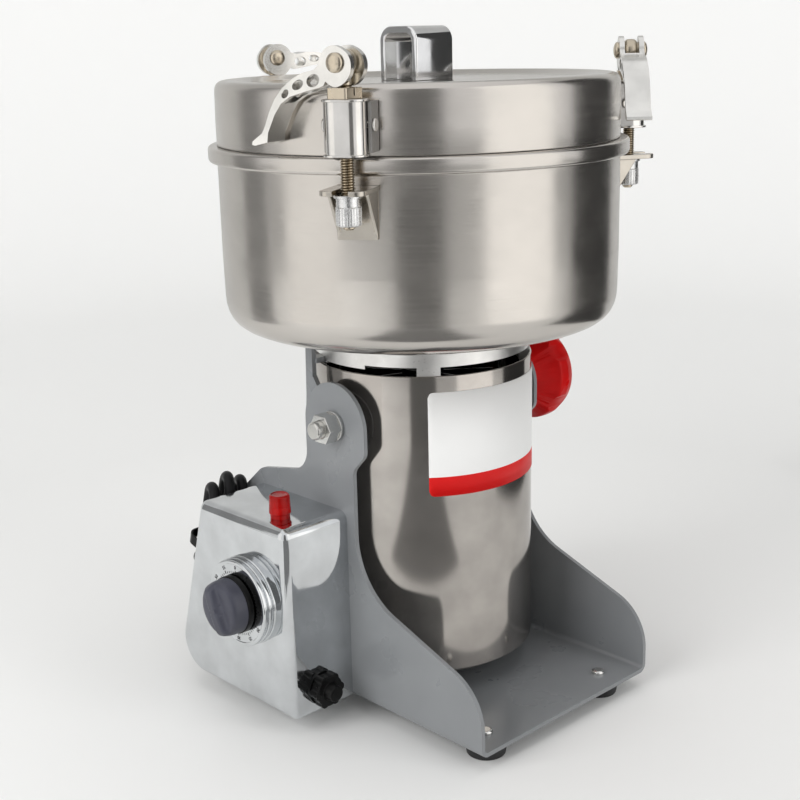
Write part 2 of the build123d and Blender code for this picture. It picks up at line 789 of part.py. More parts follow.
with BuildPart() as armature_windings:
    ring(armature_radius - 3, 11, stack_bottom - 10, stack_bottom)
    ring(armature_radius - 3, 11, stack_top, stack_top + 10)
    winding_edges = armature_windings.edges().filter_by(GeomType.CIRCLE).group_by(Axis.Z)
    fillet(winding_edges[0] + winding_edges[-1], 3)

with BuildPart() as commutator:
    with BuildSketch(Plane.XY.offset(brush_z - 9)):
        Circle(commutator_radius)
        Circle(blade_shaft_radius + snug_gap, mode=Mode.SUBTRACT)
    extrude(amount=shaft_step - brush_z + 9)
    with BuildSketch(Plane.XY.offset(shaft_step)):
        Circle(commutator_radius)
        Circle(shaft_radius + snug_gap, mode=Mode.SUBTRACT)
    extrude(amount=18 - (shaft_step - brush_z + 9))

with BuildPart() as cooling_fan:
    fan_z = stack_top + 27
    fan_radius = 41.0
    ring(12, shaft_radius + snug_gap, fan_z, fan_z + 16)
    ring(fan_radius, 11, fan_z, fan_z + 1.6)
    with BuildSketch(Plane.XY.offset(fan_z + 1.5)):
        with PolarLocations(26, 9):
            Rectangle(29, 1.8)
    extrude(amount=12)

blade_reach = bowl_bore - 16.5  # tip from the motor axis
blade_width = 17.0
with BuildPart() as cutting_blades:
    # Two three-armed cutters, the upper one turned between the lower one's arms.
    for level, turn in ((blade_z, 0), (blade_z + blade_pitch, 60)):
        with BuildSketch(Plane.XY.offset(level)):
            Circle(16)
            with PolarLocations(blade_reach / 2, 3, start_angle=turn):
                Rectangle(blade_reach, blade_width)
            Circle(blade_shaft_radius + snug_gap, mode=Mode.SUBTRACT)
        extrude(amount=blade_thickness)
    tip_edges = cutting_blades.edges().filter_by(Axis.Z).sort_by_distance((0, 0, blade_z))[-12:]
    chamfer(tip_edges, 6)

with BuildPart() as blade_spacer:
    ring(12, blade_shaft_radius + snug_gap, blade_z + blade_thickness, blade_z + blade_pitch)

with BuildPart() as blade_nut:
    nut_floor = blade_z + blade_pitch + blade_thickness
    with BuildSketch(Plane.XY.offset(nut_floor)):
        RegularPolygon(radius=10.4, side_count=6)
        Circle(blade_shaft_radius + snug_gap, mode=Mode.SUBTRACT)
    extrude(amount=8)

# ---------------------------------------------------------------- swing arms and pivot
arm_hub = 18.0
arm_neck_front = 18.3
arm_neck_rear = 23.3
arm_lobe_rear = 25.8
arm_lobe_bottom = pivot_height - 18.0
arm_tab_top = bell_ring_bottom
tab_front = 16.7
with BuildPart() as pivot_arms:
    # Flat hangers: a disc on the pivot, a lobe behind it and a neck up to the bowl's underside.
    for side in (-1, 1):
        with BuildSketch(Plane.YZ.offset(side * arm_in)) as arm_outline:
            with BuildLine():
                Polyline(
                    (arm_neck_front, bowl_bottom - seat_gap),
                    (arm_neck_rear, bowl_bottom - seat_gap),
                    (arm_neck_rear + 1, pivot_height + 12),
                    (arm_lobe_rear, pivot_height - 5),
                    (arm_lobe_rear, pivot_height - 12),
                    (arm_lobe_rear - 4, arm_lobe_bottom),
                    (arm_lobe_rear - 16, arm_lobe_bottom),
                    (0, pivot_height - 13),
                    (0, pivot_height + 13),
                    (arm_neck_front - 6, pivot_height + 15),
                    (arm_neck_front, pivot_height + 24),
                    close=True,
                )
            make_face()
            lobe_corners = arm_outline.vertices().group_by(Axis.Y)[0]
            fillet(lobe_corners, 5)
            with Locations((-pivot_forward, pivot_height)):
                Circle(arm_hub)
                Circle(stud_radius + snug_gap, mode=Mode.SUBTRACT)
        extrude(amount=side * arm_thickness)
        # The tab turned in under the end bell's ring.
        tab_width = arm_in - bell_inner + 4.0
        with BuildSketch(Plane.XY.offset(arm_tab_top - arm_thickness)):
            with Locations((side * (arm_in + 0.5 - tab_width / 2), (tab_front + arm_neck_rear) / 2 + 0.5)):
                Rectangle(tab_width + 1, arm_neck_rear - tab_front + 1)
            with Locations(*[radial(angle, arm_screw_radius)[:2] for angle in arm_screw_angles]):
                Circle(arm_screw + bolt_gap, mode=Mode.SUBTRACT)
        extrude(amount=arm_thickness)

with BuildPart() as arm_screws:
    head_top = arm_tab_top - arm_thickness
    for angle in arm_screw_angles:
        with Locations(radial(angle, arm_screw_radius, head_top - 2)):
            Cylinder(2.9, 2, align=upright)
        with Locations(radial(angle, arm_screw_radius, head_top)):
            Cylinder(arm_screw, arm_thickness + 5.5, align=upright)

washer_thickness = 1.8
nut_thickness = 8.0
stud_end = wall_out + stud_reach
with BuildPart() as pivot_studs:
    for side in (-1, 1):
        stud_plane = Plane(origin=(side * arm_in, *pivot[1:]), x_dir=(0, 1, 0), z_dir=(side, 0, 0))
        with BuildSketch(stud_plane):
            Circle(stud_radius)
        extrude(amount=stud_end - arm_in)
        tip = pivot_studs.edges().filter_by(GeomType.CIRCLE).group_by(Axis.X)[-1 if side > 0 else 0]
        chamfer(tip, 0.8)

left_nut_plane = Plane(
    origin=(-wall_out - seat_gap, *pivot[1:]), x_dir=(0, 1, 0), z_dir=(-1, 0, 0)
)
with BuildPart() as pivot_washer:
    with BuildSketch(left_nut_plane):
        Circle(8.6)
        Circle(stud_radius + 0.1, mode=Mode.SUBTRACT)
    extrude(amount=washer_thickness)

with BuildPart() as pivot_nut:
    with BuildSketch(left_nut_plane.offset(washer_thickness)):
        RegularPolygon(radius=8.7, side_count=6)
        Circle(stud_radius + snug_gap, mode=Mode.SUBTRACT)
    extrude(amount=nut_thickness)

with BuildPart() as star_knob:
    # A hub that flares out to a fluted grip and rounds in to a flat face.
    star_face = wall_out + seat_gap
    star_profile = Plane(origin=(star_face, *pivot[1:]), x_dir=(1, 0, 0), z_dir=(0, -1, 0))
    star_plane = Plane(origin=(star_face, *pivot[1:]), x_dir=(0, 1, 0), z_dir=(1, 0, 0))
    with BuildSketch(star_profile) as star_half:
        with BuildLine():
            Polyline(
                (0, 0),
                (0, star_hub_radius),
                (2.5, star_hub_radius),
                (star_waist, star_radius),
                (star_waist + 6, star_radius),
                (star_depth, star_face_radius),
                (star_depth, 0),
                close=True,
            )
        make_face()
        fillet(star_half.vertices().sort_by_distance((star_waist, star_radius))[0], 3)
        fillet(star_half.vertices().sort_by_distance((star_waist + 6, star_radius))[0], 6)
        fillet(star_half.vertices().sort_by_distance((star_depth, star_face_radius))[0], 3)
    revolve(axis=Axis(star_profile.origin, (1, 0, 0)))
    with BuildSketch(star_plane):
        with PolarLocations(star_radius - star_flute_depth + star_flute_radius, star_flutes):
            Circle(star_flute_radius)
    extrude(amount=star_depth, mode=Mode.SUBTRACT)
    with BuildSketch(star_plane):
        Circle(stud_radius + running_gap)
    extrude(amount=stud_end - star_face + 1, mode=Mode.SUBTRACT)

with BuildPart() as rating_plate:
    # A plain label, wrapped round the barrel's front right.
    label_bottom = 130.3
    label_height = 58.2
    label_start = 227.7
    label_sweep = 102.0
    label_gap = 0.1
    label_in = barrel_radius + label_gap
    ring(label_in + 0.25, label_in, label_bottom, label_bottom + label_height)
    with BuildSketch(Plane.XY.offset(label_bottom)):
        with BuildLine():
            Line((0, 0), radial(label_start, 2 * barrel_radius)[:2])
            far_edge = CenterArc((0, 0), 2 * barrel_radius, label_start, label_sweep)
            Line(far_edge @ 1, (0, 0))
        make_face()
    extrude(amount=label_height, mode=Mode.INTERSECT)

# ---------------------------------------------------------------- bowl
seal_radius = 12.0
with BuildPart() as bowl:
    corner_in = bowl_corner - bowl_wall
    with BuildSketch(Plane.XZ) as bowl_half:
        with BuildLine():
            o1 = Line((seal_radius + snug_gap, bowl_bottom), (bowl_radius - bowl_corner, bowl_bottom))
            o2 = RadiusArc(o1 @ 1, (bowl_radius, bowl_bottom + bowl_corner), -bowl_corner)
            o3 = Polyline(
                o2 @ 1,
                (bowl_radius, rim_bottom),
                (rim_radius, rim_bottom),
                (rim_radius, rim_top),
                (bowl_bore, rim_top),
                (bowl_bore, bowl_bottom + bowl_corner),
            )
            o4 = RadiusArc(o3 @ 1, (bowl_bore - corner_in, bowl_bottom + bowl_wall), corner_in)
            Polyline(o4 @ 1, (seal_radius + snug_gap, bowl_bottom + bowl_wall), o1 @ 0)
        make_face()
        fillet(bowl_half.vertices().group_by(Axis.X)[-1], 2.4)
    revolve(axis=Axis.Z)
    with BuildSketch(Plane.XY.offset(bowl_bottom)):
        with PolarLocations(bowl_screw_radius, 4, start_angle=bell_post_angle):
            Circle(bowl_screw + bolt_gap)
    extrude(amount=bowl_wall, mode=Mode.SUBTRACT)

with BuildPart() as bowl_screws:
    for angle in four_ways:
        with Locations(radial(angle, bowl_screw_radius, blade_floor)):
            Cylinder(4.4, 2.6, align=upright)
        with Locations(radial(angle, bowl_screw_radius, bowl_bottom - 6.5)):
            Cylinder(bowl_screw, bowl_wall + 6.5, align=upright)

with BuildPart() as shaft_seal:
    ring(seal_radius, shaft_radius + running_gap, bowl_bottom, blade_floor + 2)
    ring(seal_radius + 4, shaft_radius + 0.4, blade_floor, blade_floor + 4)

with BuildPart() as hook_plates:
    slot_half = rod_radius + 0.4
    hook_root = 2 * hook_corner
    with BuildSketch(Plane.XY.offset(hook_bottom)):
        with PolarLocations(bracket_face + hook_reach / 2, clamp_count, start_angle=clamp_first_angle):
            RectangleRounded(hook_reach, hook_width, hook_corner)
        with PolarLocations(bracket_face + hook_root / 2, clamp_count, start_angle=clamp_first_angle):
            Rectangle(hook_root, hook_width)
        with PolarLocations(clamp_radius + hook_margin, clamp_count, start_angle=clamp_first_angle):
            Rectangle(2 * hook_margin, 2 * slot_half, mode=Mode.SUBTRACT)
        with PolarLocations(clamp_radius, clamp_count, start_angle=clamp_first_angle):
            Circle(slot_half, mode=Mode.SUBTRACT)
    extrude(amount=hook_thickness)
    with BuildSketch(Plane.XY.offset(hook_bottom - hook_back_height)):
        with PolarLocations(bracket_face + 0.75, clamp_count, start_angle=clamp_first_angle):
            Rectangle(1.5, hook_back_width)
    extrude(amount=hook_back_height)
    gusset = 1.6
    gusset_reach = 13.5
    for index in range(clamp_count):
        angle = clamp_angle(index)
        for side in (-1, 1):
            offset_out = side * (hook_back_width - gusset) / 2
            start = Vector(*radial(angle, bracket_face + 0.5)) + Vector(*radial(angle + 90, offset_out))
            gusset_plane = Plane(origin=start, x_dir=radial(angle, 1), z_dir=radial(angle + 90, 1))
            up = 1 if gusset_plane.y_dir.Z > 0 else -1
            with BuildSketch(gusset_plane):
                with BuildLine():
                    Polyline(
                        (0, up * (hook_bottom + 0.5)),
                        (gusset_reach, up * (hook_bottom + 0.5)),
                        (gusset_reach, up * (hook_bottom - 1)),
                        (0, up * (hook_bottom - hook_back_height + 2)),
                        close=True,
                    )
                make_face()
            extrude(amount=gusset / 2, both=True)

# ---------------------------------------------------------------- lid
with BuildPart() as lid_shell:
    inner_corner = lid_corner - bowl_wall
    with BuildSketch(Plane.XZ):
        with BuildLine():
            k1 = Line((bowl_radius, lid_bottom), (bowl_radius, lid_top - lid_corner))
            k2 = RadiusArc(k1 @ 1, (bowl_radius - lid_corner, lid_top), -lid_corner)
            k3 = Polyline(
                k2 @ 1,
                (lid_dish_radius + 2, lid_top),
                (lid_dish_radius - 2, lid_plate_top),
                (0, lid_plate_top),
                (0, lid_plate_top - bowl_wall),
                (lid_dish_radius - 2.6, lid_plate_top - bowl_wall),
                (lid_dish_radius + 1.4, lid_top - bowl_wall),
                (bowl_radius - lid_corner, lid_top - bowl_wall),
            )
            k4 = RadiusArc(k3 @ 1, (bowl_bore, lid_top - lid_corner), inner_corner)
            Polyline(k4 @ 1, (bowl_bore, lid_bottom), k1 @ 0)
        make_face()
    revolve(axis=Axis.Z)

with BuildPart() as lid_gasket:
    ring(bowl_bore - seat_gap, bowl_bore - 4.5, lid_bottom - 4.5, lid_bottom + 8)

with BuildPart() as lid_handle:
    with BuildSketch(Plane.YZ) as strap:
        with Locations((0, lid_plate_top + handle_height / 2)):
            Rectangle(handle_span, handle_height)
        fillet(strap.vertices().group_by(Axis.Y)[-1], 8)
    extrude(amount=handle_width / 2, both=True)
    with BuildSketch(Plane.YZ) as finger_gap:
        with Locations((0, lid_plate_top + (handle_height - handle_thickness) / 2)):
            Rectangle(handle_span - 2 * handle_thickness, handle_height - handle_thickness)
        fillet(finger_gap.vertices().group_by(Axis.Y)[-1], 4.5)
    extrude(amount=handle_width, both=True, mode=Mode.SUBTRACT)
    strap_sides = lid_handle.faces().sort_by(Axis.X)
    long_edges = strap_sides[0].edges() + strap_sides[-1].edges()
    rim_edges = long_edges.filter_by(lambda e: e.center().Z > lid_plate_top + 0.5)
    fillet(rim_edges, 0.8)

lug_in = sleeve_across / 2 + seat_gap
lug_thickness = 1.6
rivet_radius = 1.6
rivet_out = clamp_radius - 6.0
rivet_z = sleeve_bottom + 14
lug_reach = rivet_out - bracket_face + 3.5
with BuildPart() as clamp_lugs:
    # A channel on the lid's wall, with a cheek each side of the clamp's sleeve.
    lug_outer = lug_in + lug_thickness
    lug_middle = bracket_face + lug_reach / 2
    with BuildSketch(Plane.XY.offset(sleeve_bottom + sleeve_plate + seat_gap)):
        with PolarLocations(lug_middle, clamp_count, start_angle=clamp_first_angle):
            Rectangle(lug_reach, 2 * lug_outer)
        with PolarLocations(lug_middle + lug_thickness, clamp_count, start_angle=clamp_first_angle):
            Rectangle(lug_reach, 2 * lug_in, mode=Mode.SUBTRACT)
    extrude(amount=sleeve_height - 2 * sleeve_plate - 2 * seat_gap)
    for index in range(clamp_count):
        angle = clamp_angle(index)
        rivet_plane = Plane(
            origin=radial(angle, rivet_out, rivet_z), x_dir=radial(angle, 1), z_dir=radial(angle + 90, 1)
        )
        with BuildSketch(rivet_plane):
            Circle(rivet_radius + snug_gap)
        extrude(amount=20, both=True, mode=Mode.SUBTRACT)

with BuildPart() as clamp_sleeves:
    # A hollow block between two thin end plates.
    with BuildSketch(Plane.XY.offset(sleeve_bottom)):
        with PolarLocations(clamp_radius, clamp_count, start_angle=clamp_first_angle):
            RectangleRounded(sleeve_deep, sleeve_across, sleeve_corner)
    extrude(amount=sleeve_height)
    plate_deep = sleeve_deep + 2 * sleeve_flange
    plate_across = sleeve_across + 2 * sleeve_flange
    for level in (sleeve_bottom, sleeve_top - sleeve_plate):
        with BuildSketch(Plane.XY.offset(level)):
            with PolarLocations(clamp_radius, clamp_count, start_angle=clamp_first_angle):
                RectangleRounded(plate_deep, plate_across, sleeve_corner)
        extrude(amount=sleeve_plate)
    inner_deep = sleeve_deep - 2 * sleeve_wall
    inner_across = sleeve_across - 2 * sleeve_wall
    with BuildSketch(Plane.XY.offset(sleeve_bottom + sleeve_plate)):
        with PolarLocations(clamp_radius, clamp_count, start_angle=clamp_first_angle):
            RectangleRounded(inner_deep, inner_across, sleeve_corner - sleeve_wall)
    extrude(amount=sleeve_height - 2 * sleeve_plate, mode=Mode.SUBTRACT)
    with BuildSketch(Plane.XY.offset(sleeve_bottom - 1)):
        with PolarLocations(clamp_radius, clamp_count, start_angle=clamp_first_angle):
            Circle(rod_radius + bolt_gap)
    extrude(amount=sleeve_height + 2, mode=Mode.SUBTRACT)
    for index in range(clamp_count):
        angle = clamp_angle(index)
        rivet_plane = Plane(
            origin=radial(angle, rivet_out, rivet_z), x_dir=radial(angle, 1), z_dir=radial(angle + 90, 1)
        )
        with BuildSketch(rivet_plane):
            Circle(rivet_radius + snug_gap)
        extrude(amount=20, both=True, mode=Mode.SUBTRACT)

with BuildPart() as clamp_rivets:
    for index in range(clamp_count):
        angle = clamp_angle(index)
        rivet_plane = Plane(
            origin=radial(angle, rivet_out, rivet_z), x_dir=radial(angle, 1), z_dir=radial(angle + 90, 1)
        )
        with BuildSketch(rivet_plane):
            Circle(rivet_radius)
        extrude(amount=lug_outer, both=True)
        for side in (-1, 1):
            with BuildSketch(rivet_plane.offset(side * lug_outer)):
                Circle(3.3)
            extrude(amount=side * 1.4)

with BuildPart() as clamp_saddles:
    # Brass blocks on the sleeves, grooved across for the rod's eye.
    for index in range(clamp_count):
        angle = clamp_angle(index)
        block_plane = Plane(
            origin=radial(angle, clamp_radius, sleeve_top),
            x_dir=radial(angle - clamp_turn, 1),
            z_dir=(0, 0, 1),
        )
        with BuildSketch(block_plane):
            RectangleRounded(lever_width + 0.5, 11, 1.2)
        extrude(amount=saddle_height)
        with BuildSketch(block_plane):
            Circle(rod_radius + bolt_gap)
        extrude(amount=saddle_height, mode=Mode.SUBTRACT)
        with BuildSketch(block_plane.offset(1.4)):
            Rectangle(1.0, 12)
        extrude(amount=saddle_height, mode=Mode.SUBTRACT)

# ---------------------------------------------------------------- clamps
# The lever's side outline, from the eye's centre: x along the lever, y up.
lever_top = [(7.6, 3.0), (9.4, -0.6), (12.7, -3.2), (18.6, -4.2), (24.7, -6.9), (31.0, -11.2), (35.8, -16.4)]
lever_tip = [(39.4, -22.4), (42.0, -28.4), (44.2, -32.2), (50.3, -36.2), (50.7, -37.8), (48.8, -38.2)]
lever_under = [(41.3, -36.5), (40.6, -32.1), (36.2, -23.7), (32.1, -18.4)]
cheek_under = [(26.6, -15.2), (17.5, -12.8), (9.4, -11.0), (7.1, -10.2)]
web_under = [(34.5, -17.7), (30.0, -12.4), (24.1, -8.4), (18.2, -5.7), (12.6, -4.7)]
lever_holes = [(12.9, -7.9, 7.5, 5.6, -20), (21.8, -9.8, 6.9, 4.1, -25), (29.4, -13.9, 4.9, 3.2, -42)]


def cam_point(turn):
    """A point on the eye's rim, this many degrees round from straight down, away from the lever."""
    travel = 150.0
    reach = eye_radius - cam_drop * min(turn, travel)
    if turn > travel:
        reach += cam_drop * travel * (turn - travel) / (360 - travel)
    angle = radians(-90 - turn)
    return (reach * cos(angle), reach * sin(angle))


def pin_frame(index, lift):
    """The pin's plane: x along a lever lifted by this much, z along the pin towards the lid."""
    angle = clamp_angle(index)
    level = Vector(*radial(angle - clamp_turn - 90, 1))
    return Plane(
        origin=radial(angle, clamp_radius, pin_height - cam_drop * lever_lifts[index]),
        x_dir=level * cos(radians(lift)) + Vector(0, 0, sin(radians(lift))),
        z_dir=radial(angle - clamp_turn + 180, 1),
    )


levers = []
draw_bolts = []
clamp_nuts = []
for index in range(clamp_count):
    pin_plane = pin_frame(index, 0)
    lever_plane = pin_frame(index, lever_lifts[index])
    half = lever_width / 2
    with BuildPart() as clamp_lever:
        for side in (-1, 1):
            cheek_start = half if side > 0 else -half + lever_cheek
            with BuildSketch(lever_plane.offset(cheek_start)):
                with BuildLine():
                    Spline(*[cam_point(t) for t in range(0, 360, 20)], periodic=True)
                make_face()
                with BuildLine():
                    Polyline((0, 0), *lever_top, *lever_tip, *lever_under, *cheek_under, close=True)
                make_face()
                Circle(pin_radius + running_gap, mode=Mode.SUBTRACT)
                for x, y, long, short, turn in lever_holes:
                    with Locations((x, y)):
                        Ellipse(long / 2, short / 2, rotation=turn, mode=Mode.SUBTRACT)
            extrude(amount=-lever_cheek)
        with BuildSketch(lever_plane.offset(half)):
            with BuildLine():
                Polyline(*lever_top[1:], *lever_tip, *lever_under, *web_under, close=True)
            make_face()
            Circle(eye_radius + 0.6, mode=Mode.SUBTRACT)
        extrude(amount=-lever_width)
    levers.append(clamp_lever)
    with BuildPart() as draw_bolt:
        eye_width = lever_width - 2 * lever_cheek - 2 * seat_gap
        with BuildSketch(pin_plane):
            Circle(6.0)
        extrude(amount=eye_width / 2, both=True)
        with BuildSketch(pin_plane):
            Circle(pin_radius)
        extrude(amount=half + seat_gap, both=True)
        for side in (-1, 1):
            with BuildSketch(pin_plane.offset(side * (half + seat_gap))):
                Circle(pin_head_radius)
            extrude(amount=side * 1.0)
            with BuildSketch(pin_plane.offset(side * (half + seat_gap + 1.0))):
                Circle(pin_head_radius)
            extrude(amount=side * 1.4, taper=40)
        nut_top = hook_bottom - seat_gap - cam_drop * lever_lifts[index]
        nut_bottom = nut_top - nut_height
        rod_bottom = nut_bottom - rod_below_nut
        with Locations(radial(clamp_angle(index), clamp_radius, rod_bottom)):
            Cylinder(rod_radius, pin_height - 2 - rod_bottom, align=upright)
    draw_bolts.append(draw_bolt)
    with BuildPart() as clamp_nut:
        flange_height = 1.4
        with Locations(radial(clamp_angle(index), clamp_radius, nut_bottom)):
            Cylinder(nut_radius, nut_height - flange_height, align=upright)
        with Locations(radial(clamp_angle(index), clamp_radius, nut_top - flange_height)):
            Cylinder(nut_radius + nut_flange, flange_height, align=upright)
        with Locations(radial(clamp_angle(index), clamp_radius, nut_bottom)):
            Cylinder(rod_radius + running_gap, nut_height, align=upright, mode=Mode.SUBTRACT)
    clamp_nuts.append(clamp_nut)

# ---------------------------------------------------------------- write the pieces
pieces = {
    "base_bracket": base_bracket,
    "rubber_feet": rubber_feet,
    "foot_screws": foot_screws,
    "control_box_cover": control_box_cover,
    "timer_body": timer_body,
    "timer_dial": timer_dial,
    "timer_knob": timer_knob,
    "pilot_lamp": pilot_lamp,
    "fuse_holder": fuse_holder,
    "fuse_cap": fuse_cap,
    "cord_gland": cord_gland,
    "power_cord": power_cord,
    "cord_hank": cord_hank,
    "cord_tie": cord_tie,
    "power_plug": power_plug,
    "motor_shell": motor_shell,
    "bottom_cover": bottom_cover,
    "end_bell": end_bell,
    "lower_bracket": lower_bracket,
    "tie_bolts": tie_bolts,
    "stator_core": stator_core,
    "stator_windings": stator_windings,
    "brush_holders": brush_holders,
    "carbon_brushes": carbon_brushes,
    "ball_bearings": ball_bearings,
    "rotor_shaft": rotor_shaft,
    "armature_core": armature_core,
    "armature_windings": armature_windings,
    "commutator": commutator,
    "cooling_fan": cooling_fan,
    "cutting_blades": cutting_blades,
    "blade_spacer": blade_spacer,
    "blade_nut": blade_nut,
    "pivot_arms": pivot_arms,
    "arm_screws": arm_screws,
    "pivot_studs": pivot_studs,
    "pivot_washer": pivot_washer,
    "pivot_nut": pivot_nut,
    "star_knob": star_knob,
    "rating_plate": rating_plate,
    "bowl": bowl,
    "bowl_screws": bowl_screws,
    "shaft_seal": shaft_seal,
    "hook_plates": hook_plates,
    "lid_shell": lid_shell,
    "lid_gasket": lid_gasket,
    "lid_handle": lid_handle,
    "clamp_lugs": clamp_lugs,
    "clamp_sleeves": clamp_sleeves,
    "clamp_rivets": clamp_rivets,
    "clamp_saddles": clamp_saddles,
}
for index, place_name in enumerate(clamp_names):
    pieces[f"clamp_lever_{place_name}"] = levers[index]
    pieces[f"draw_bolt_{place_name}"] = draw_bolts[index]
    pieces[f"clamp_nut_{place_name}"] = clamp_nuts[index]

os.makedirs("parts", exist_ok=True)
for label, builder in pieces.items():
    piece = builder.part.moved(Location(footprint_shift))
    piece.label = label
    export_step(piece, f"parts/{label}.step")
print(len(pieces), "pieces written")
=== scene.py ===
"""The looks of an electric grain mill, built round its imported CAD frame. Metres, +Z up."""

import json
from math import atan2, cos, pi, radians, sin, sqrt, tan

import bmesh
import bpy
from mathutils import Matrix, Vector

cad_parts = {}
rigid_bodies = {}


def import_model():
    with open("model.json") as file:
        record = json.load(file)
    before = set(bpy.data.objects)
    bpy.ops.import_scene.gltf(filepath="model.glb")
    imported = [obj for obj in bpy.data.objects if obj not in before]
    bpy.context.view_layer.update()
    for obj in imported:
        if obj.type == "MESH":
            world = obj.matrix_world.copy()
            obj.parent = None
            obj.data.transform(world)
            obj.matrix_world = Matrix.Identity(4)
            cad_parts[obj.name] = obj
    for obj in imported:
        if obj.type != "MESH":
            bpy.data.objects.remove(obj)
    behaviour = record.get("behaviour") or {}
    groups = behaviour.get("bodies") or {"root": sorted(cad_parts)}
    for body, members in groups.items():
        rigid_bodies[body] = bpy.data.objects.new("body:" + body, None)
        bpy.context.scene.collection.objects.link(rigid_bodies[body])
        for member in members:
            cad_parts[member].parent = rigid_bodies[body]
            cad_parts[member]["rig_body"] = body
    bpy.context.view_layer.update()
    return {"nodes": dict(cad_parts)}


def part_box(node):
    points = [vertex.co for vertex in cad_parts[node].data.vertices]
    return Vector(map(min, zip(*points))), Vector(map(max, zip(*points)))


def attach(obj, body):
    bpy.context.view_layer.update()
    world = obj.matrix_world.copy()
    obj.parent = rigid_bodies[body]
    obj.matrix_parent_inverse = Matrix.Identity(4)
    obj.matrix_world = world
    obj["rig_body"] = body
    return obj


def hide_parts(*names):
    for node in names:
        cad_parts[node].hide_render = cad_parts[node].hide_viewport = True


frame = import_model()

# ---------------------------------------------------------------- sizes that repeat the CAD's
mm = 0.001
barrel_low, barrel_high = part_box("motor_shell")
bowl_low, bowl_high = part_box("bowl")
lid_low, lid_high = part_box("lid_shell")
barrel_middle = (barrel_low + barrel_high) / 2
motor_foot = Vector((barrel_middle.x, barrel_middle.y, 0))
barrel_radius = (barrel_high.x - barrel_low.x) / 2
rim_radius = (bowl_high.x - bowl_low.x) / 2
bowl_radius = (lid_high.x - lid_low.x) / 2
bowl_sheet = 1.5 * mm

clamp_radius = 124 * mm
clamp_turn = 17.0
clamp_angles = {"rear": 90.0, "left": 210.0, "right": 330.0}
lever_width = 13.5 * mm
seat_gap = 0.3 * mm
rod_radius = 3.5 * mm
nut_radius = 6.2 * mm
nut_flange = 0.8 * mm
sleeve_across = 19.6 * mm
sleeve_deep = 15.0 * mm
sleeve_corner = 7.0 * mm
sleeve_flange = 0.9 * mm
sleeve_plate = 1.2 * mm


def at(x, y, z):
    """A place given in millimetres from the motor axis and the table."""
    return Vector((x, y, z)) * mm + motor_foot


# ---------------------------------------------------------------- camera
camera_azimuth = -43.42483
camera_elevation = 15.29627
camera_roll = -1.38481
camera_distance = 0.77853965
camera_lens = 60.540
camera_target_side = -13.42763  # millimetres across the view from the motor axis
camera_target_height = 168.02199  # millimetres above the table


def add_camera():
    data = bpy.data.cameras.new("camera")
    data.sensor_width = 36
    data.lens = camera_lens
    data.clip_start = 0.01
    obj = bpy.data.objects.new("camera", data)
    turn = (
        Matrix.Rotation(radians(camera_azimuth), 4, "Z")
        @ Matrix.Rotation(radians(90 - camera_elevation), 4, "X")
        @ Matrix.Rotation(radians(camera_roll), 4, "Z")
    )
    side = Vector((cos(radians(camera_azimuth)), sin(radians(camera_azimuth)), 0))
    target = motor_foot + side * camera_target_side * mm + Vector((0, 0, camera_target_height * mm))
    back = turn.to_3x3() @ Vector((0, 0, 1))
    obj.matrix_world = Matrix.Translation(target + back * camera_distance) @ turn
    bpy.context.scene.collection.objects.link(obj)
    bpy.context.scene.camera = obj


# ---------------------------------------------------------------- materials
def new_material(name, **values):
    """A material whose surface is one Principled shader, with these values on its sockets."""
    mat = bpy.data.materials.new(name)
    mat.use_nodes = True
    shader = mat.node_tree.nodes["Principled BSDF"]
    for key, value in values.items():
        socket = shader.inputs[key.replace("_", " ")]
        socket.default_value = (*value, 1.0) if isinstance(value, tuple) and len(value) == 3 else value
    return mat, mat.node_tree, shader


def node(tree, kind, **settings):
    made = tree.nodes.new(kind)
    for key, value in settings.items():
        if key in made.inputs:
            made.inputs[key].default_value = value
        else:
            setattr(made, key, value)
    return made


def object_point(tree, scale=(1, 1, 1)):
    """The surface point in the part's own frame, stretched by this scale."""
    coords = node(tree, "ShaderNodeTexCoord")
    mapping = node(tree, "ShaderNodeMapping")
    mapping.inputs["Scale"].default_value = scale
    tree.links.new(coords.outputs["Object"], mapping.inputs["Vector"])
    return mapping.outputs["Vector"]


def noise(tree, scale, stretch=(1, 1, 1), detail=3.0, roughness=0.5):
    """A noise of this many cycles per metre."""
    made = node(tree, "ShaderNodeTexNoise", Scale=scale, Detail=detail, Roughness=roughness)
    tree.links.new(object_point(tree, stretch), made.inputs["Vector"])
    return made.outputs["Fac"]


def spread(tree, value, low, high, in_low=0.3, in_high=0.7):
    """Maps a noise's middle range to low..high."""
    made = node(tree, "ShaderNodeMapRange")
    made.inputs["From Min"].default_value = in_low
    made.inputs["From Max"].default_value = in_high
    made.inputs["To Min"].default_value = low
    made.inputs["To Max"].default_value = high
    tree.links.new(value, made.inputs["Value"])
    return made.outputs["Result"]


def tint(tree, value, dark, light):
    """A colour between two, by a value of 0 to 1."""
    made = node(tree, "ShaderNodeMix", data_type="RGBA")
    made.inputs["A"].default_value = (*dark, 1)
    made.inputs["B"].default_value = (*light, 1)
    tree.links.new(value, made.inputs["Factor"])
    return made.outputs["Result"]


def bump(tree, shader, height, distance, strength=1.0):
    made = node(tree, "ShaderNodeBump", Strength=strength, Distance=distance)
    tree.links.new(height, made.inputs["Height"])
    tree.links.new(made.outputs["Normal"], shader.inputs["Normal"])
    return made


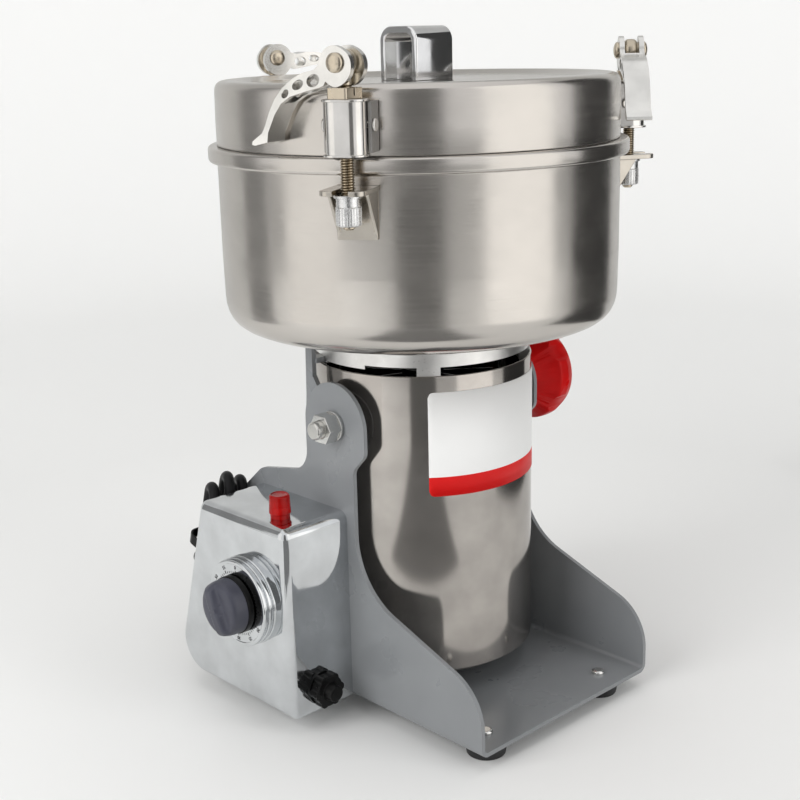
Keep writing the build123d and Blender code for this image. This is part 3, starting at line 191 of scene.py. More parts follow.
def spun_steel(name, colour, rough, streak=0.25, swirl=0.12):
    """Sheet steel polished on a spindle: fine level lines round the axis, and faint handling marks."""
    mat, tree, shader = new_material(
        name, Metallic=1.0, Anisotropic=0.65, Anisotropic_Rotation=0.0
    )
    tangent = node(tree, "ShaderNodeTangent", direction_type="RADIAL", axis="Z")
    tree.links.new(tangent.outputs["Tangent"], shader.inputs["Tangent"])
    lines = noise(tree, 1300, (0.012, 0.012, 6.0), detail=5)
    marks = noise(tree, 28, (1, 1, 1.6), detail=6, roughness=0.62)
    shade = node(tree, "ShaderNodeMath", operation="MULTIPLY")
    tree.links.new(spread(tree, lines, 1 - streak, 1.0), shade.inputs[0])
    tree.links.new(spread(tree, marks, 1 - swirl, 1.0), shade.inputs[1])
    dark = tuple(0.55 * c for c in colour)
    tree.links.new(tint(tree, shade.outputs[0], dark, colour), shader.inputs["Base Color"])
    rub = node(tree, "ShaderNodeMath", operation="ADD")
    tree.links.new(spread(tree, lines, -0.04, 0.05), rub.inputs[0])
    tree.links.new(spread(tree, marks, rough + 0.05, rough - 0.04), rub.inputs[1])
    tree.links.new(rub.outputs[0], shader.inputs["Roughness"])
    bump(tree, shader, lines, 0.00002, 0.3)
    return mat


def polished_metal(name, colour, rough, wave=0.00003, spots=0.05):
    """A mirror-bright metal with faint waviness and dull spots."""
    mat, tree, shader = new_material(name, Metallic=1.0)
    dull = noise(tree, 60, detail=5)
    dark = tuple(0.82 * c for c in colour)
    tree.links.new(tint(tree, spread(tree, dull, 0, 1), dark, colour), shader.inputs["Base Color"])
    tree.links.new(spread(tree, dull, rough + spots, rough), shader.inputs["Roughness"])
    bump(tree, shader, noise(tree, 22, detail=1), wave, 1.0)
    return mat


def cast_metal(name, colour, rough, grain=1400, depth=0.00004):
    """Cast or blasted metal with a fine grain."""
    mat, tree, shader = new_material(name, Metallic=1.0)
    speck = noise(tree, grain, detail=4)
    cloud = noise(tree, 45, detail=3)
    dark = tuple(0.72 * c for c in colour)
    tree.links.new(tint(tree, spread(tree, cloud, 0, 1), dark, colour), shader.inputs["Base Color"])
    tree.links.new(spread(tree, speck, rough - 0.07, rough + 0.1), shader.inputs["Roughness"])
    bump(tree, shader, speck, depth, 0.8)
    return mat


def moulded(name, colour, rough, grain=900, depth=0.00003, fade=0.8, **values):
    """Moulded plastic or rubber with a fine grain and slight handling shine."""
    mat, tree, shader = new_material(name, **values)
    speck = noise(tree, grain, detail=3)
    cloud = noise(tree, 70, detail=4)
    dark = tuple(fade * c for c in colour)
    tree.links.new(tint(tree, spread(tree, cloud, 0, 1), dark, colour), shader.inputs["Base Color"])
    tree.links.new(spread(tree, cloud, rough + 0.06, rough - 0.04), shader.inputs["Roughness"])
    bump(tree, shader, speck, depth, 0.6)
    return mat


def grey_paint(name, colour):
    """Gloss paint with a fine orange peel."""
    mat, tree, shader = new_material(name, Coat_Weight=0.35, Coat_Roughness=0.12)
    cloud = noise(tree, 35, detail=4)
    dark = tuple(0.93 * c for c in colour)
    paint = tint(tree, spread(tree, cloud, 0, 1), dark, colour)
    tree.links.new(paint, shader.inputs["Base Color"])
    tree.links.new(spread(tree, cloud, 0.34, 0.26), shader.inputs["Roughness"])
    bump(tree, shader, noise(tree, 420, detail=2), 0.00003, 0.5)
    return mat


steel = spun_steel("spun_steel", (0.60, 0.57, 0.535), 0.18, streak=0.09, swirl=0.08)
barrel_steel = polished_metal("barrel_steel", (0.49, 0.46, 0.43), 0.11, spots=0.03)
box_chrome = polished_metal("box_chrome", (0.72, 0.74, 0.755), 0.05)
handle_chrome = polished_metal("handle_chrome", (0.86, 0.86, 0.86), 0.04, wave=0.00005)
nickel = polished_metal("nickel", (0.80, 0.78, 0.75), 0.13, spots=0.06)
bright_nickel = polished_metal("bright_nickel", (0.84, 0.83, 0.80), 0.20, spots=0.05)
hook_nickel = polished_metal("hook_nickel", (0.60, 0.56, 0.50), 0.20, spots=0.05)
# A dark bronze for the rods' thread roots: painted shade in the grooves.
painted_root_shade = polished_metal("painted_root_shade", (0.22, 0.17, 0.11), 0.35, spots=0.05)
bronze = polished_metal("bronze", (0.66, 0.58, 0.46), 0.22, spots=0.08)
zinc = polished_metal("zinc", (0.80, 0.80, 0.78), 0.18, spots=0.08)
stud_metal = polished_metal("stud_metal", (0.72, 0.71, 0.68), 0.2, spots=0.08)
aluminium = cast_metal("aluminium", (0.93, 0.92, 0.90), 0.34)
nut_aluminium = cast_metal("nut_aluminium", (0.84, 0.84, 0.84), 0.26, depth=0.00002)
dull_steel = cast_metal("dull_steel", (0.42, 0.41, 0.40), 0.42)
lamination = cast_metal("lamination", (0.16, 0.16, 0.17), 0.5)
copper = cast_metal("copper", (0.62, 0.29, 0.14), 0.35)
paint = grey_paint("paint", (0.235, 0.245, 0.255))
arm_paint = grey_paint("arm_paint", (0.235, 0.245, 0.255))
cord_sheath = moulded("cord_sheath", (0.008, 0.008, 0.009), 0.42, Specular_IOR_Level=0.2)
black_rubber = moulded("black_rubber", (0.018, 0.018, 0.019), 0.55)
black_plastic = moulded("black_plastic", (0.006, 0.006, 0.006), 0.30, Specular_IOR_Level=0.16)
brown_plastic = moulded("brown_plastic", (0.09, 0.035, 0.02), 0.45)
grey_plastic = moulded("grey_plastic", (0.052, 0.054, 0.075), 0.38)
red_plastic = moulded("red_plastic", (0.58, 0.002, 0.002), 0.30, Specular_IOR_Level=0.14)
red_lens = moulded(
    "red_lens", (0.44, 0.003, 0.002), 0.12, grain=500, depth=0.0001, fade=0.3, Specular_IOR_Level=0.22
)
silicone = moulded("silicone", (0.62, 0.60, 0.56), 0.5)
white_film = moulded("white_film", (0.90, 0.90, 0.89), 0.42, depth=0.000005, fade=0.985)
red_film = moulded("red_film", (0.72, 0.008, 0.008), 0.42, depth=0.000005, fade=0.97, Specular_IOR_Level=0.2)


# ---------------------------------------------------------------- making pieces
def finish_mesh(name, bm, body, materials, replaced=(), smooth=30.0):
    """Turns a bmesh into a piece that rides on a body, smooth except along its creases."""
    bmesh.ops.remove_doubles(bm, verts=bm.verts, dist=1e-7)
    bmesh.ops.recalc_face_normals(bm, faces=bm.faces)
    mesh = bpy.data.meshes.new(name)
    bm.to_mesh(mesh)
    bm.free()
    mesh.shade_smooth()
    mesh.set_sharp_from_angle(angle=radians(smooth))
    obj = bpy.data.objects.new(name, mesh)
    bpy.context.scene.collection.objects.link(obj)
    for mat in materials if isinstance(materials, (list, tuple)) else (materials,):
        mesh.materials.append(mat)
    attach(obj, body)
    if replaced:
        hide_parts(*replaced)
    return obj


def body_of(name):
    return frame["nodes"][name]["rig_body"]


def lathe_faces(bm, profile, centre, axis=Vector((0, 0, 1)), segments=128, material=0):
    """Revolves a closed profile of (radius, height) points about an axis through a centre."""
    turn = axis.to_track_quat("Z", "Y").to_matrix()
    rings = []
    for radius, height in profile:
        if radius < 1e-7:
            rings.append([bm.verts.new(centre + turn @ Vector((0, 0, height)))])
            continue
        ring = []
        for step in range(segments):
            angle = 2 * pi * step / segments
            place = Vector((radius * cos(angle), radius * sin(angle), height))
            ring.append(bm.verts.new(centre + turn @ place))
        rings.append(ring)
    for one, two in zip(rings, rings[1:] + rings[:1]):
        if len(one) == 1 and len(two) == 1:
            continue
        for step in range(segments):
            after = (step + 1) % segments
            near = (one[step % len(one)], one[after % len(one)])
            far = (two[after % len(two)], two[step % len(two)])
            face = bm.faces.new(list(dict.fromkeys(near + far)))
            face.material_index = material


def join_rings(bm, rings):
    """Bands of faces from each ring of points to the next."""
    faces = []
    for one, two in zip(rings, rings[1:]):
        for side in range(len(one)):
            after = (side + 1) % len(one)
            faces.append(bm.faces.new((one[side], one[after], two[after], two[side])))
    return faces


def rounded(points, steps=4, closed=True):
    """A profile whose corners are arcs, of a radius that a point gives as its third number."""
    count = len(points)
    out = []
    for index, point in enumerate(points):
        here = Vector(point[:2])
        size = point[2] if len(point) > 2 else 0
        if size <= 0 or (not closed and index in (0, count - 1)):
            out.append(tuple(here))
            continue
        before = Vector(points[index - 1][:2])
        after = Vector(points[(index + 1) % count][:2])
        to_before = before - here
        to_after = after - here
        half = to_before.angle(to_after) / 2
        reach = min(size / tan(half), 0.48 * to_before.length, 0.48 * to_after.length)
        start = here + to_before.normalized() * reach
        end = here + to_after.normalized() * reach
        for step in range(steps + 1):
            t = step / steps
            bent = start * (1 - t) ** 2 + here * 2 * t * (1 - t) + end * t * t
            out.append((bent.x, bent.y))
    return out


def dress(name, mat):
    """Gives a CAD node that keeps its own shape a material."""
    obj = frame["nodes"][name]
    obj.data.materials.clear()
    obj.data.materials.append(mat)


def soften(name, mat, width=0.4 * mm, crease=32.0, segments=3, flat=1.0):
    """A copy of a CAD node's shape with its sharp edges eased, which stands in for the node."""
    bm = bmesh.new()
    bm.from_mesh(frame["nodes"][name].data)
    bmesh.ops.remove_doubles(bm, verts=bm.verts, dist=2e-6)
    bmesh.ops.dissolve_limit(
        bm, angle_limit=radians(flat), verts=bm.verts, edges=bm.edges, delimit={"NORMAL"}
    )
    obj = finish_mesh(f"{name}_eased", bm, body_of(name), mat, (name,), smooth=crease)
    edge = obj.modifiers.new("edge", "BEVEL")
    edge.width = width
    edge.segments = segments
    edge.limit_method = "ANGLE"
    edge.angle_limit = radians(crease)
    edge.harden_normals = True
    return obj


# ---------------------------------------------------------------- bowl, lid and barrel
hub_hole = 12.1 * mm
rim_height = 8.4 * mm
lid_dish = 2.5 * mm
label_start = radians(227.7)
label_sweep = radians(102.0)
label_band = 10.9 * mm
label_corner = 3.0 * mm


def add_bowl():
    floor = bowl_low.z
    top = bowl_high.z
    rim_low = top - rim_height
    lower = bowl_radius - 0.7 * mm
    profile = [
        (hub_hole, floor, 0),
        (lower, floor, 18 * mm),
        (bowl_radius, floor + 40 * mm, 5 * mm),
        (bowl_radius, rim_low, 0.9 * mm),
        (rim_radius, rim_low, 3.6 * mm),
        (rim_radius, top, 2.2 * mm),
        (bowl_radius - bowl_sheet, top, 0.6 * mm),
        (lower - bowl_sheet, floor + bowl_sheet, 16 * mm),
        (hub_hole, floor + bowl_sheet, 0),
    ]
    bm = bmesh.new()
    lathe_faces(bm, rounded(profile, steps=8), motor_foot, segments=256)
    finish_mesh("bowl_spun", bm, "mill", steel, ("bowl",))


def add_lid():
    low = lid_low.z
    top = lid_high.z
    rim_inner = 98 * mm
    dish_edge = 91 * mm
    profile = [
        (bowl_radius - 0.15 * mm, low, 0.3 * mm),
        (bowl_radius - 0.1 * mm, low + 12 * mm, 8 * mm),
        (bowl_radius - 0.5 * mm, top, 9.5 * mm),
        (rim_inner, top, 3 * mm),
        (dish_edge, top - lid_dish, 5 * mm),
        (0, top - lid_dish),
        (0, top - lid_dish - bowl_sheet),
        (dish_edge - 1 * mm, top - lid_dish - bowl_sheet, 5 * mm),
        (rim_inner - 1 * mm, top - bowl_sheet, 3 * mm),
        (bowl_radius - 2 * mm, top - bowl_sheet, 8 * mm),
        (bowl_radius - bowl_sheet - 0.1 * mm, low, 0.3 * mm),
    ]
    bm = bmesh.new()
    lathe_faces(bm, rounded(profile, steps=8), motor_foot, segments=256)
    finish_mesh("lid_spun", bm, "lid", steel, ("lid_shell",))


def add_barrel():
    low = barrel_low.z
    top = barrel_high.z
    bore = barrel_radius - bowl_sheet
    profile = [(barrel_radius, low, 0), (barrel_radius, top, 0.8 * mm), (bore, top, 0.6 * mm), (bore, low, 0)]
    bm = bmesh.new()
    lathe_faces(bm, rounded(profile, steps=5), motor_foot, segments=192)
    finish_mesh("barrel_tube", bm, "mill", barrel_steel, ("motor_shell",))


def add_label():
    """A bare film on the barrel, white with a red foot, and rounded at its corners."""
    low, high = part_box("rating_plate")
    radius = barrel_radius + 0.35 * mm
    band = low.z + label_band
    width = label_sweep * radius
    columns = 120
    bm = bmesh.new()
    rows = []
    for step in range(columns + 1):
        along = width * step / columns
        nearest = min(along, width - along)
        inset = 0.0
        if nearest < label_corner:
            inset = label_corner - sqrt(max(0.0, label_corner**2 - (label_corner - nearest) ** 2))
        angle = label_start + along / radius
        heights = [low.z + inset, max(band, low.z + inset), high.z - inset]
        outward = Vector((cos(angle), sin(angle), 0))
        rows.append([bm.verts.new(motor_foot + outward * radius + Vector((0, 0, z))) for z in heights])
    for one, two in zip(rows, rows[1:]):
        lower = bm.faces.new((one[0], two[0], two[1], one[1]))
        lower.material_index = 1
        bm.faces.new((one[1], two[1], two[2], one[2]))
    films = (white_film, red_film)
    obj = finish_mesh("label_film", bm, "mill", films, ("rating_plate",))
    thick = obj.modifiers.new("film", "SOLIDIFY")
    thick.thickness = 0.25 * mm
    thick.offset = -1


# ---------------------------------------------------------------- clamps
pin_drop = 6 * mm  # the cross pin's axis under the top of the rod's eye
pin_head = 4.55 * mm
pin_radius = 4.0 * mm
thread_pitch = 1.25 * mm
thread_depth = 0.75 * mm
thread_sides = 24
thread_steps = 6  # rows of points in one turn of the thread


def clamp_point(name, z=0.0):
    """A place on a clamp's rod axis."""
    angle = radians(clamp_angles[name])
    return Vector((motor_foot.x + clamp_radius * cos(angle), motor_foot.y + clamp_radius * sin(angle), z))


def pin_direction(name):
    """Along the clamp's cross pin, away from the lid."""
    angle = radians(clamp_angles[name] - clamp_turn)
    return Vector((cos(angle), sin(angle), 0))


def thread_faces(bm, name, low, high):
    """A screw thread between two heights, with its roots in the second material, a dark bronze that paints
    the shade in the thread's grooves.
    """
    rows = []
    for row in range(int((high - low) / thread_pitch * thread_steps) + 1):
        z = low + row * thread_pitch / thread_steps
        ring = []
        for side in range(thread_sides):
            angle = 2 * pi * side / thread_sides
            phase = (z / thread_pitch - side / thread_sides) % 1.0
            radius = rod_radius - 0.05 * mm - thread_depth * (1 - abs(2 * phase - 1))
            place = Vector((radius * cos(angle), radius * sin(angle), 0))
            ring.append(bm.verts.new(clamp_point(name, z) + place))
        rows.append(ring)
    # Faces in the thread's roots take the dark second material, which paints the shade in the grooves.
    for index, face in enumerate(join_rings(bm, rows)):
        row, side = divmod(index, thread_sides)
        height = (rows[row][side].co.z + rows[row + 1][side].co.z) / 2
        phase = (height / thread_pitch - (side + 0.5) / thread_sides) % 1.0
        face.material_index = 1 if abs(2 * phase - 1) < 0.5 else 0
    bm.faces.new(reversed(rows[0]))
    bm.faces.new(rows[-1])


def pin_profile():
    """The cross pin's profile along its axis, with a domed head at each end."""
    half = lever_width / 2 + seat_gap
    angles = (20, 40, 60, 80, 90)
    profile = [(0, -half - 2.4 * mm)]
    for angle in angles:
        turn = radians(angle)
        profile.append((pin_head * sin(turn), -half - 0.5 * mm - 1.9 * mm * cos(turn)))
    profile += [(pin_head, -half), (pin_radius, -half), (pin_radius, half), (pin_head, half)]
    for angle in reversed(angles):
        turn = radians(angle)
        profile.append((pin_head * sin(turn), half + 0.5 * mm + 1.9 * mm * cos(turn)))
    return profile + [(0, half + 2.4 * mm)]


def add_rod(name):
    """A threaded rod with a ball eye, and a cross pin with domed heads."""
    low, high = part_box(f"draw_bolt_{name}")
    pin = clamp_point(name, high.z - pin_drop)
    outward = pin_direction(name)
    bottom = low.z
    thread_top = pin.z - 9 * mm
    bm = bmesh.new()
    thread_faces(bm, name, bottom + 1.5 * mm, thread_top)
    tip = 2.9 * mm
    foot = [(0, bottom), (2.0 * mm, bottom + 0.2 * mm), (tip, bottom + 1.0 * mm), (tip, bottom + 1.6 * mm)]
    foot.append((0, bottom + 1.6 * mm))
    lathe_faces(bm, foot, clamp_point(name), segments=24)
    neck = 3.3 * mm
    neck_low = thread_top - 1 * mm
    neck_high = pin.z - 3 * mm
    neck_profile = [(0, neck_low), (neck, neck_low), (neck, neck_high), (0, neck_high)]
    lathe_faces(bm, neck_profile, clamp_point(name), segments=24)
    eye = 6 * mm
    half = 3.6 * mm
    ball = rounded([(0, -half), (eye, -half, 3 * mm), (eye, half, 3 * mm), (0, half)], 6, False)
    lathe_faces(bm, ball, pin, outward, segments=40)
    lathe_faces(bm, pin_profile(), pin, outward, segments=40)
    node_name = f"draw_bolt_{name}"
    metals = (bronze, painted_root_shade)
    finish_mesh(f"{node_name}_threaded", bm, node_name, metals, (node_name,))


def sleeve_outline(grow):
    """A rounded rectangle, x out from the lid and y along it."""
    corner = sleeve_corner + min(grow, 0)
    inner_x = sleeve_deep / 2 + grow - corner
    inner_y = sleeve_across / 2 + grow - corner
    points = []
    for quarter, (side_x, side_y) in enumerate(((1, 1), (-1, 1), (-1, -1), (1, -1))):
        for step in range(11):
            angle = pi / 2 * (quarter + step / 10)
            points.append((side_x * inner_x + corner * cos(angle), side_y * inner_y + corner * sin(angle)))
    return points


def add_sleeves():
    """Each clamp's rounded block between two thin end plates, bored for its rod."""
    low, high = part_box("clamp_sleeves")
    height = high.z - low.z
    ease = 0.25 * mm
    levels = [(0, sleeve_flange - ease), (ease, sleeve_flange), (sleeve_plate - ease, sleeve_flange)]
    levels += [(sleeve_plate, sleeve_flange - ease), (sleeve_plate, 0)]
    levels += [(height - z, grow) for z, grow in reversed(levels)]
    bore = rod_radius + 0.2 * mm
    bm = bmesh.new()
    for name, clamp_angle in clamp_angles.items():
        turn = Matrix.Rotation(radians(clamp_angle), 3, "Z")
        centre = clamp_point(name, low.z)
        rings = []
        for z, grow in levels:
            outline = sleeve_outline(grow)
            rings.append([bm.verts.new(centre + turn @ Vector((x, y, z))) for x, y in outline])
        for z in (height, 0):
            ring = []
            for x, y in sleeve_outline(0):
                angle = atan2(y, x)
                ring.append(bm.verts.new(centre + turn @ Vector((bore * cos(angle), bore * sin(angle), z))))
            rings.append(ring)
        join_rings(bm, rings + rings[:1])
    body = body_of("clamp_sleeves")
    finish_mesh("clamp_sleeves_rounded", bm, body, nickel, ("clamp_sleeves",))


def add_nut(name):
    """A flanged nut, smooth below its flange and ribbed on its grip."""
    node_name = f"clamp_nut_{name}"
    low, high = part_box(node_name)
    height = high.z - low.z
    centre = clamp_point(name, low.z)
    bore = rod_radius + 0.1 * mm
    flange = nut_radius + nut_flange - 0.05 * mm
    flange_low = height - 1.4 * mm
    neck = nut_radius - 0.3 * mm
    neck_low = height * 0.62
    profile = [
        (bore, height), (flange, height, 0.3 * mm), (flange, flange_low, 0.3 * mm),
        (neck, flange_low, 0.2 * mm), (neck, neck_low, 0.2 * mm), (bore, neck_low),
    ]
    bm = bmesh.new()
    lathe_faces(bm, rounded(profile, 3), centre, segments=64)
    ribs = 20
    sides = ribs * 6
    angles = [2 * pi * side / sides for side in range(sides)]
    grip_top = height * 0.64
    rings = []
    for z, share in ((0, 0.86), (0.5 * mm, 0.97), (1.0 * mm, 1.0), (height * 0.6, 1.0), (grip_top, 0.93)):
        ring = []
        for angle in angles:
            groove = 0.55 * mm * max(0.0, cos(angle * ribs)) ** 3
            radius = nut_radius * share - groove
            ring.append(bm.verts.new(centre + Vector((radius * cos(angle), radius * sin(angle), z))))
        rings.append(ring)
    join_rings(bm, rings)
    for ring, z in ((rings[0], 0), (rings[-1], grip_top)):
        hole = [bm.verts.new(centre + Vector((bore * cos(a), bore * sin(a), z))) for a in angles]
        join_rings(bm, [ring, hole])
    finish_mesh(f"{node_name}_ribbed", bm, node_name, nut_aluminium, (node_name,))


# ---------------------------------------------------------------- control box fittings
box_outward = Vector((-1, 0, 0))
timer_centre = at(-115.0, 22.0, 74.0)
dial_depth = 9.5 * mm
dial_radius = 24.6 * mm
dial_sink = 0.35 * mm  # the scale's face below the dial's rim
tick_radius = 17.0 * mm
number_radius = 20.6 * mm
number_size = 2.9 * mm
knob_radius = 15.6 * mm
knob_skirt_radius = 16.2 * mm
knob_skirt = 3.4 * mm
knob_lean = radians(-24)
ridge_half = 2.4 * mm
ridge_slope = 2.6 * mm
scoop_depth = 3.6 * mm
lamp_rise = 13.5 * mm


def add_dial_rings():
    """Stacked bright rings under a flat face."""
    hole = 5.05 * mm
    edge = dial_radius
    face = dial_depth - dial_sink
    profile = [
        (hole, 0), (edge + 0.4 * mm, 0, 0), (edge + 0.4 * mm, 2.6 * mm, 0.9 * mm),
        (edge - 0.7 * mm, 3.0 * mm, 0.3 * mm), (edge - 0.7 * mm, 3.4 * mm, 0.3 * mm),
        (edge + 0.1 * mm, 3.6 * mm, 0.5 * mm), (edge + 0.1 * mm, 5.9 * mm, 0.8 * mm),
        (edge - 0.9 * mm, 6.3 * mm, 0.3 * mm), (edge - 0.9 * mm, 6.7 * mm, 0.3 * mm),
        (edge, 6.9 * mm, 0.5 * mm), (edge, dial_depth, 1.1 * mm),
        (edge - 2.0 * mm, dial_depth, 0.3 * mm), (edge - 2.4 * mm, face, 0.2 * mm), (hole, face),
    ]
    bm = bmesh.new()
    lathe_faces(bm, rounded(profile, 4), timer_centre, box_outward, segments=128)
    finish_mesh("timer_dial_rings", bm, "stand", box_chrome, ("timer_dial",))


def add_dial_ticks(face):
    """Sixty thin ticks of ink, every fifth one longer."""
    bm = bmesh.new()
    for step in range(60):
        angle = 2 * pi * step / 60
        long = step % 5 == 0
        length = 2.0 * mm if long else 1.2 * mm
        width = (0.38 if long else 0.22) * mm
        spoke = Vector((0, cos(angle), sin(angle)))
        across = Vector((0, -sin(angle), cos(angle)))
        base = face + spoke * tick_radius
        corners = [base + across * width / 2, base - across * width / 2]
        corners += [c + spoke * length for c in reversed(corners)]
        bm.faces.new([bm.verts.new(c + box_outward * 0.05 * mm) for c in corners])
    ticks = finish_mesh("timer_scale_ticks", bm, "stand", black_plastic)
    thick = ticks.modifiers.new("ink", "SOLIDIFY")
    thick.thickness = 0.04 * mm


def add_dial_numbers(face):
    """Plain numbers from 0 to 55, each with its foot towards the knob."""
    upright = Matrix(((0, 0, -1), (-1, 0, 0), (0, 1, 0))).to_4x4()
    for index in range(12):
        angle = pi / 2 - 2 * pi * index / 12
        curve = bpy.data.curves.new(f"timer_number_{index}", "FONT")
        curve.body = str(index * 5)
        curve.size = number_size
        curve.align_x = "CENTER"
        curve.align_y = "CENTER"
        curve.extrude = 0.02 * mm
        text = bpy.data.objects.new(f"timer_number_{index}", curve)
        bpy.context.scene.collection.objects.link(text)
        spoke = Vector((0, -cos(angle), sin(angle)))
        place = face + spoke * number_radius + box_outward * 0.05 * mm
        turn = Matrix.Rotation(angle - pi / 2, 4, "Z")
        text.matrix_world = Matrix.Translation(place) @ upright @ turn
        curve.materials.append(black_plastic)
        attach(text, "stand")


def add_timer_dial():
    face = timer_centre + box_outward * (dial_depth - 0.3 * mm)
    add_dial_rings()
    add_dial_ticks(face)
    add_dial_numbers(face)


def add_timer_knob():
    """A black skirt under a slate-grey cap whose scooped sides leave a pointer ridge."""
    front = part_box("timer_knob")[0].x
    base = timer_centre + box_outward * (dial_depth + seat_gap)
    bm = bmesh.new()
    edge = knob_skirt_radius
    skirt = rounded([(0, 0), (edge, 0, 0.3 * mm), (edge, knob_skirt, 0.5 * mm), (0, knob_skirt)], 3, False)
    lathe_faces(bm, skirt, base, box_outward, segments=96, material=1)
    stem = [(0, -12 * mm), (2.9 * mm, -12 * mm), (2.9 * mm, 0.5 * mm), (0, 0.5 * mm)]
    lathe_faces(bm, stem, base, box_outward, segments=32, material=1)
    cap_high = (timer_centre.x - front) - dial_depth - seat_gap
    # Rings of the cap: share of its radius, share of its rise.
    rings = [(1.0, 0.0), (0.995, 0.30), (0.975, 0.52), (0.93, 0.72), (0.86, 0.86), (0.76, 0.94)]
    rings += [(share / 100, 0.94 + 0.06 * (1 - (share / 76) ** 2)) for share in (66, 56, 46, 36, 26, 16, 6)]
    sides = 144
    rows = []
    for share, rise in rings:
        row = []
        for side in range(sides):
            angle = 2 * pi * side / sides
            y = knob_radius * share * cos(angle)
            z = knob_radius * share * sin(angle)
            across = y * cos(knob_lean) + z * sin(knob_lean)
            scoop = min(1.0, max(0.0, (abs(across) - ridge_half) / ridge_slope))
            scoop = scoop * scoop * (3 - 2 * scoop)
            height = knob_skirt + (cap_high - knob_skirt) * rise - scoop_depth * scoop * rise**4
            row.append(bm.verts.new(base + Vector((-height, y, z))))
        rows.append(row)
    join_rings(bm, rows)
    bm.faces.new(rows[-1])
    bm.faces.new(list(reversed(rows[0])))
    plastics = (grey_plastic, black_plastic)
    finish_mesh("timer_knob_cap", bm, "timer_knob", plastics, ("timer_knob",), smooth=50)


def add_pilot_lamp():
    """A lens over a collar, on a shank that goes down into the box."""
    low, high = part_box("pilot_lamp")
    middle = (low + high) / 2
    seat = Vector((middle.x, middle.y, high.z - lamp_rise))
    shank = 4.4 * mm
    top = lamp_rise
    dent = lamp_rise - 0.5 * mm
    profile = [
        (0, -20 * mm), (shank, -20 * mm), (shank, 0),
        (5.4 * mm, 0, 0.2 * mm), (5.5 * mm, 2.4 * mm, 0.5 * mm),
        (6.1 * mm, 3.0 * mm, 0.4 * mm), (5.9 * mm, 6.4 * mm, 0.2 * mm), (5.75 * mm, 6.7 * mm, 0.2 * mm),
        (5.85 * mm, 7.0 * mm, 0.2 * mm), (5.6 * mm, top - 0.8 * mm, 0.8 * mm),
        (4.6 * mm, top, 0.8 * mm), (4.2 * mm, dent, 0.3 * mm), (0, dent),
    ]
    bm = bmesh.new()
    lathe_faces(bm, rounded(profile, 3, False), seat, segments=64)
    finish_mesh("pilot_lamp_lens", bm, "stand", red_lens, ("pilot_lamp",))


# ---------------------------------------------------------------- mains cord
cord_radius = 3.2 * mm
# From here on, numbers are millimetres from the motor axis and the table.
box_top = 120.5
box_height = 110.0
box_rear_top = 66.0
box_rear_bottom = 98.5
hank_x = -87.0
hank_bottom = 56.0
hank_thickness = 19.0
hank_standoff = 1.3
lead_side = -10.4
tail_side = -2.2
leg_front = -6.3
leg_back = 5.7
leg_aside = 2.75  # a leg to each side of its column's middle
columns = ((-9.6, 60.4), (10.8, 60.0), (0.6, 65.0))  # across the hank, and the middle of the fold on top
feet = (21.0, 28.0)  # the middles of the folds below, between the columns
on_table = 3.6
rear_lean = atan2(box_rear_bottom - box_rear_top, box_height)
lead_route = [
    (-78.0, 107.2, 51.7), (-78.0, 120.6, 55.6), (-72.5, 133.5, 56.0), (-61.0, 143.5, 52.5),
    (-46.0, 151.0, 45.0), (-30.0, 157.5, 35.5), (-14.0, 164.0, 24.5), (1.5, 170.0, 13.0),
    (18.0, 173.0, 5.5), (36.5, 168.5, on_table), (50.0, 155.5, on_table), (55.0, 137.5, on_table),
    (50.5, 119.5, on_table), (37.5, 106.0, on_table), (19.5, 101.0, on_table), (-8.0, 101.5, on_table),
    (-36.0, 103.5, on_table), (-62.0, 105.5, 3.9), (-80.0, 106.5, 8.5), (-92.5, 106.0, 20.0),
]
tail_route = [(-84.5, 108.5, 22.5), (-72.5, 113.0, 11.5), (-56.0, 117.0, 10.0), (-38.0, 119.5, 10.0)]


def rear_face(z):
    """Where the box's sloping rear face stands."""
    return box_rear_top + (box_top - z) * (box_rear_bottom - box_rear_top) / box_height


def hank_place(across, through, along):
    """A place in the hank, across it, through its thickness and along it."""
    y = rear_face(hank_bottom) + (hank_thickness / 2 + hank_standoff) / cos(rear_lean)
    return (
        hank_x + across,
        y + through * cos(rear_lean) - along * sin(rear_lean),
        hank_bottom + through * sin(rear_lean) + along * cos(rear_lean),
    )


def fold(start, end, along, way):
    """Half a turn between two legs of the hank, over its top (way 1) or under its foot (way -1)."""
    here = Vector(start)
    half = (Vector(end) - here) / 2
    radius = half.length
    run_in = along - way * tan(pi / 8) * radius
    points = [hank_place(*start, run_in)]
    for angle in (pi / 8, 3 * pi / 8, 5 * pi / 8, 7 * pi / 8):
        place = here + half * (1 - cos(angle) / cos(pi / 8))
        points.append(hank_place(*place, along + way * radius * sin(angle) / cos(pi / 8)))
    points.append(hank_place(*end, run_in))
    return points


def hank_points():
    """The folded run of the cord: three columns, each up in front and down behind, the middle one last."""
    points = [hank_place(lead_side, 0, -19.0), hank_place(lead_side, 0, 0)]
    points.append(hank_place(-12.35, leg_front, 28.0))
    for index, (across, top) in enumerate(columns):
        front = (across - leg_aside, leg_front)
        back = (across + leg_aside, leg_back)
        points += fold(front, back, top, 1)
        if index < len(feet):
            after = (columns[index + 1][0] - leg_aside, leg_front)
            points += fold(back, after, feet[index], -1)
    points += [hank_place(3.0, leg_back, 38.0), hank_place(-1.0, 6.2, 16.0)]
    return points + [hank_place(tail_side, 0, 0), hank_place(tail_side, 0, -18.0)]


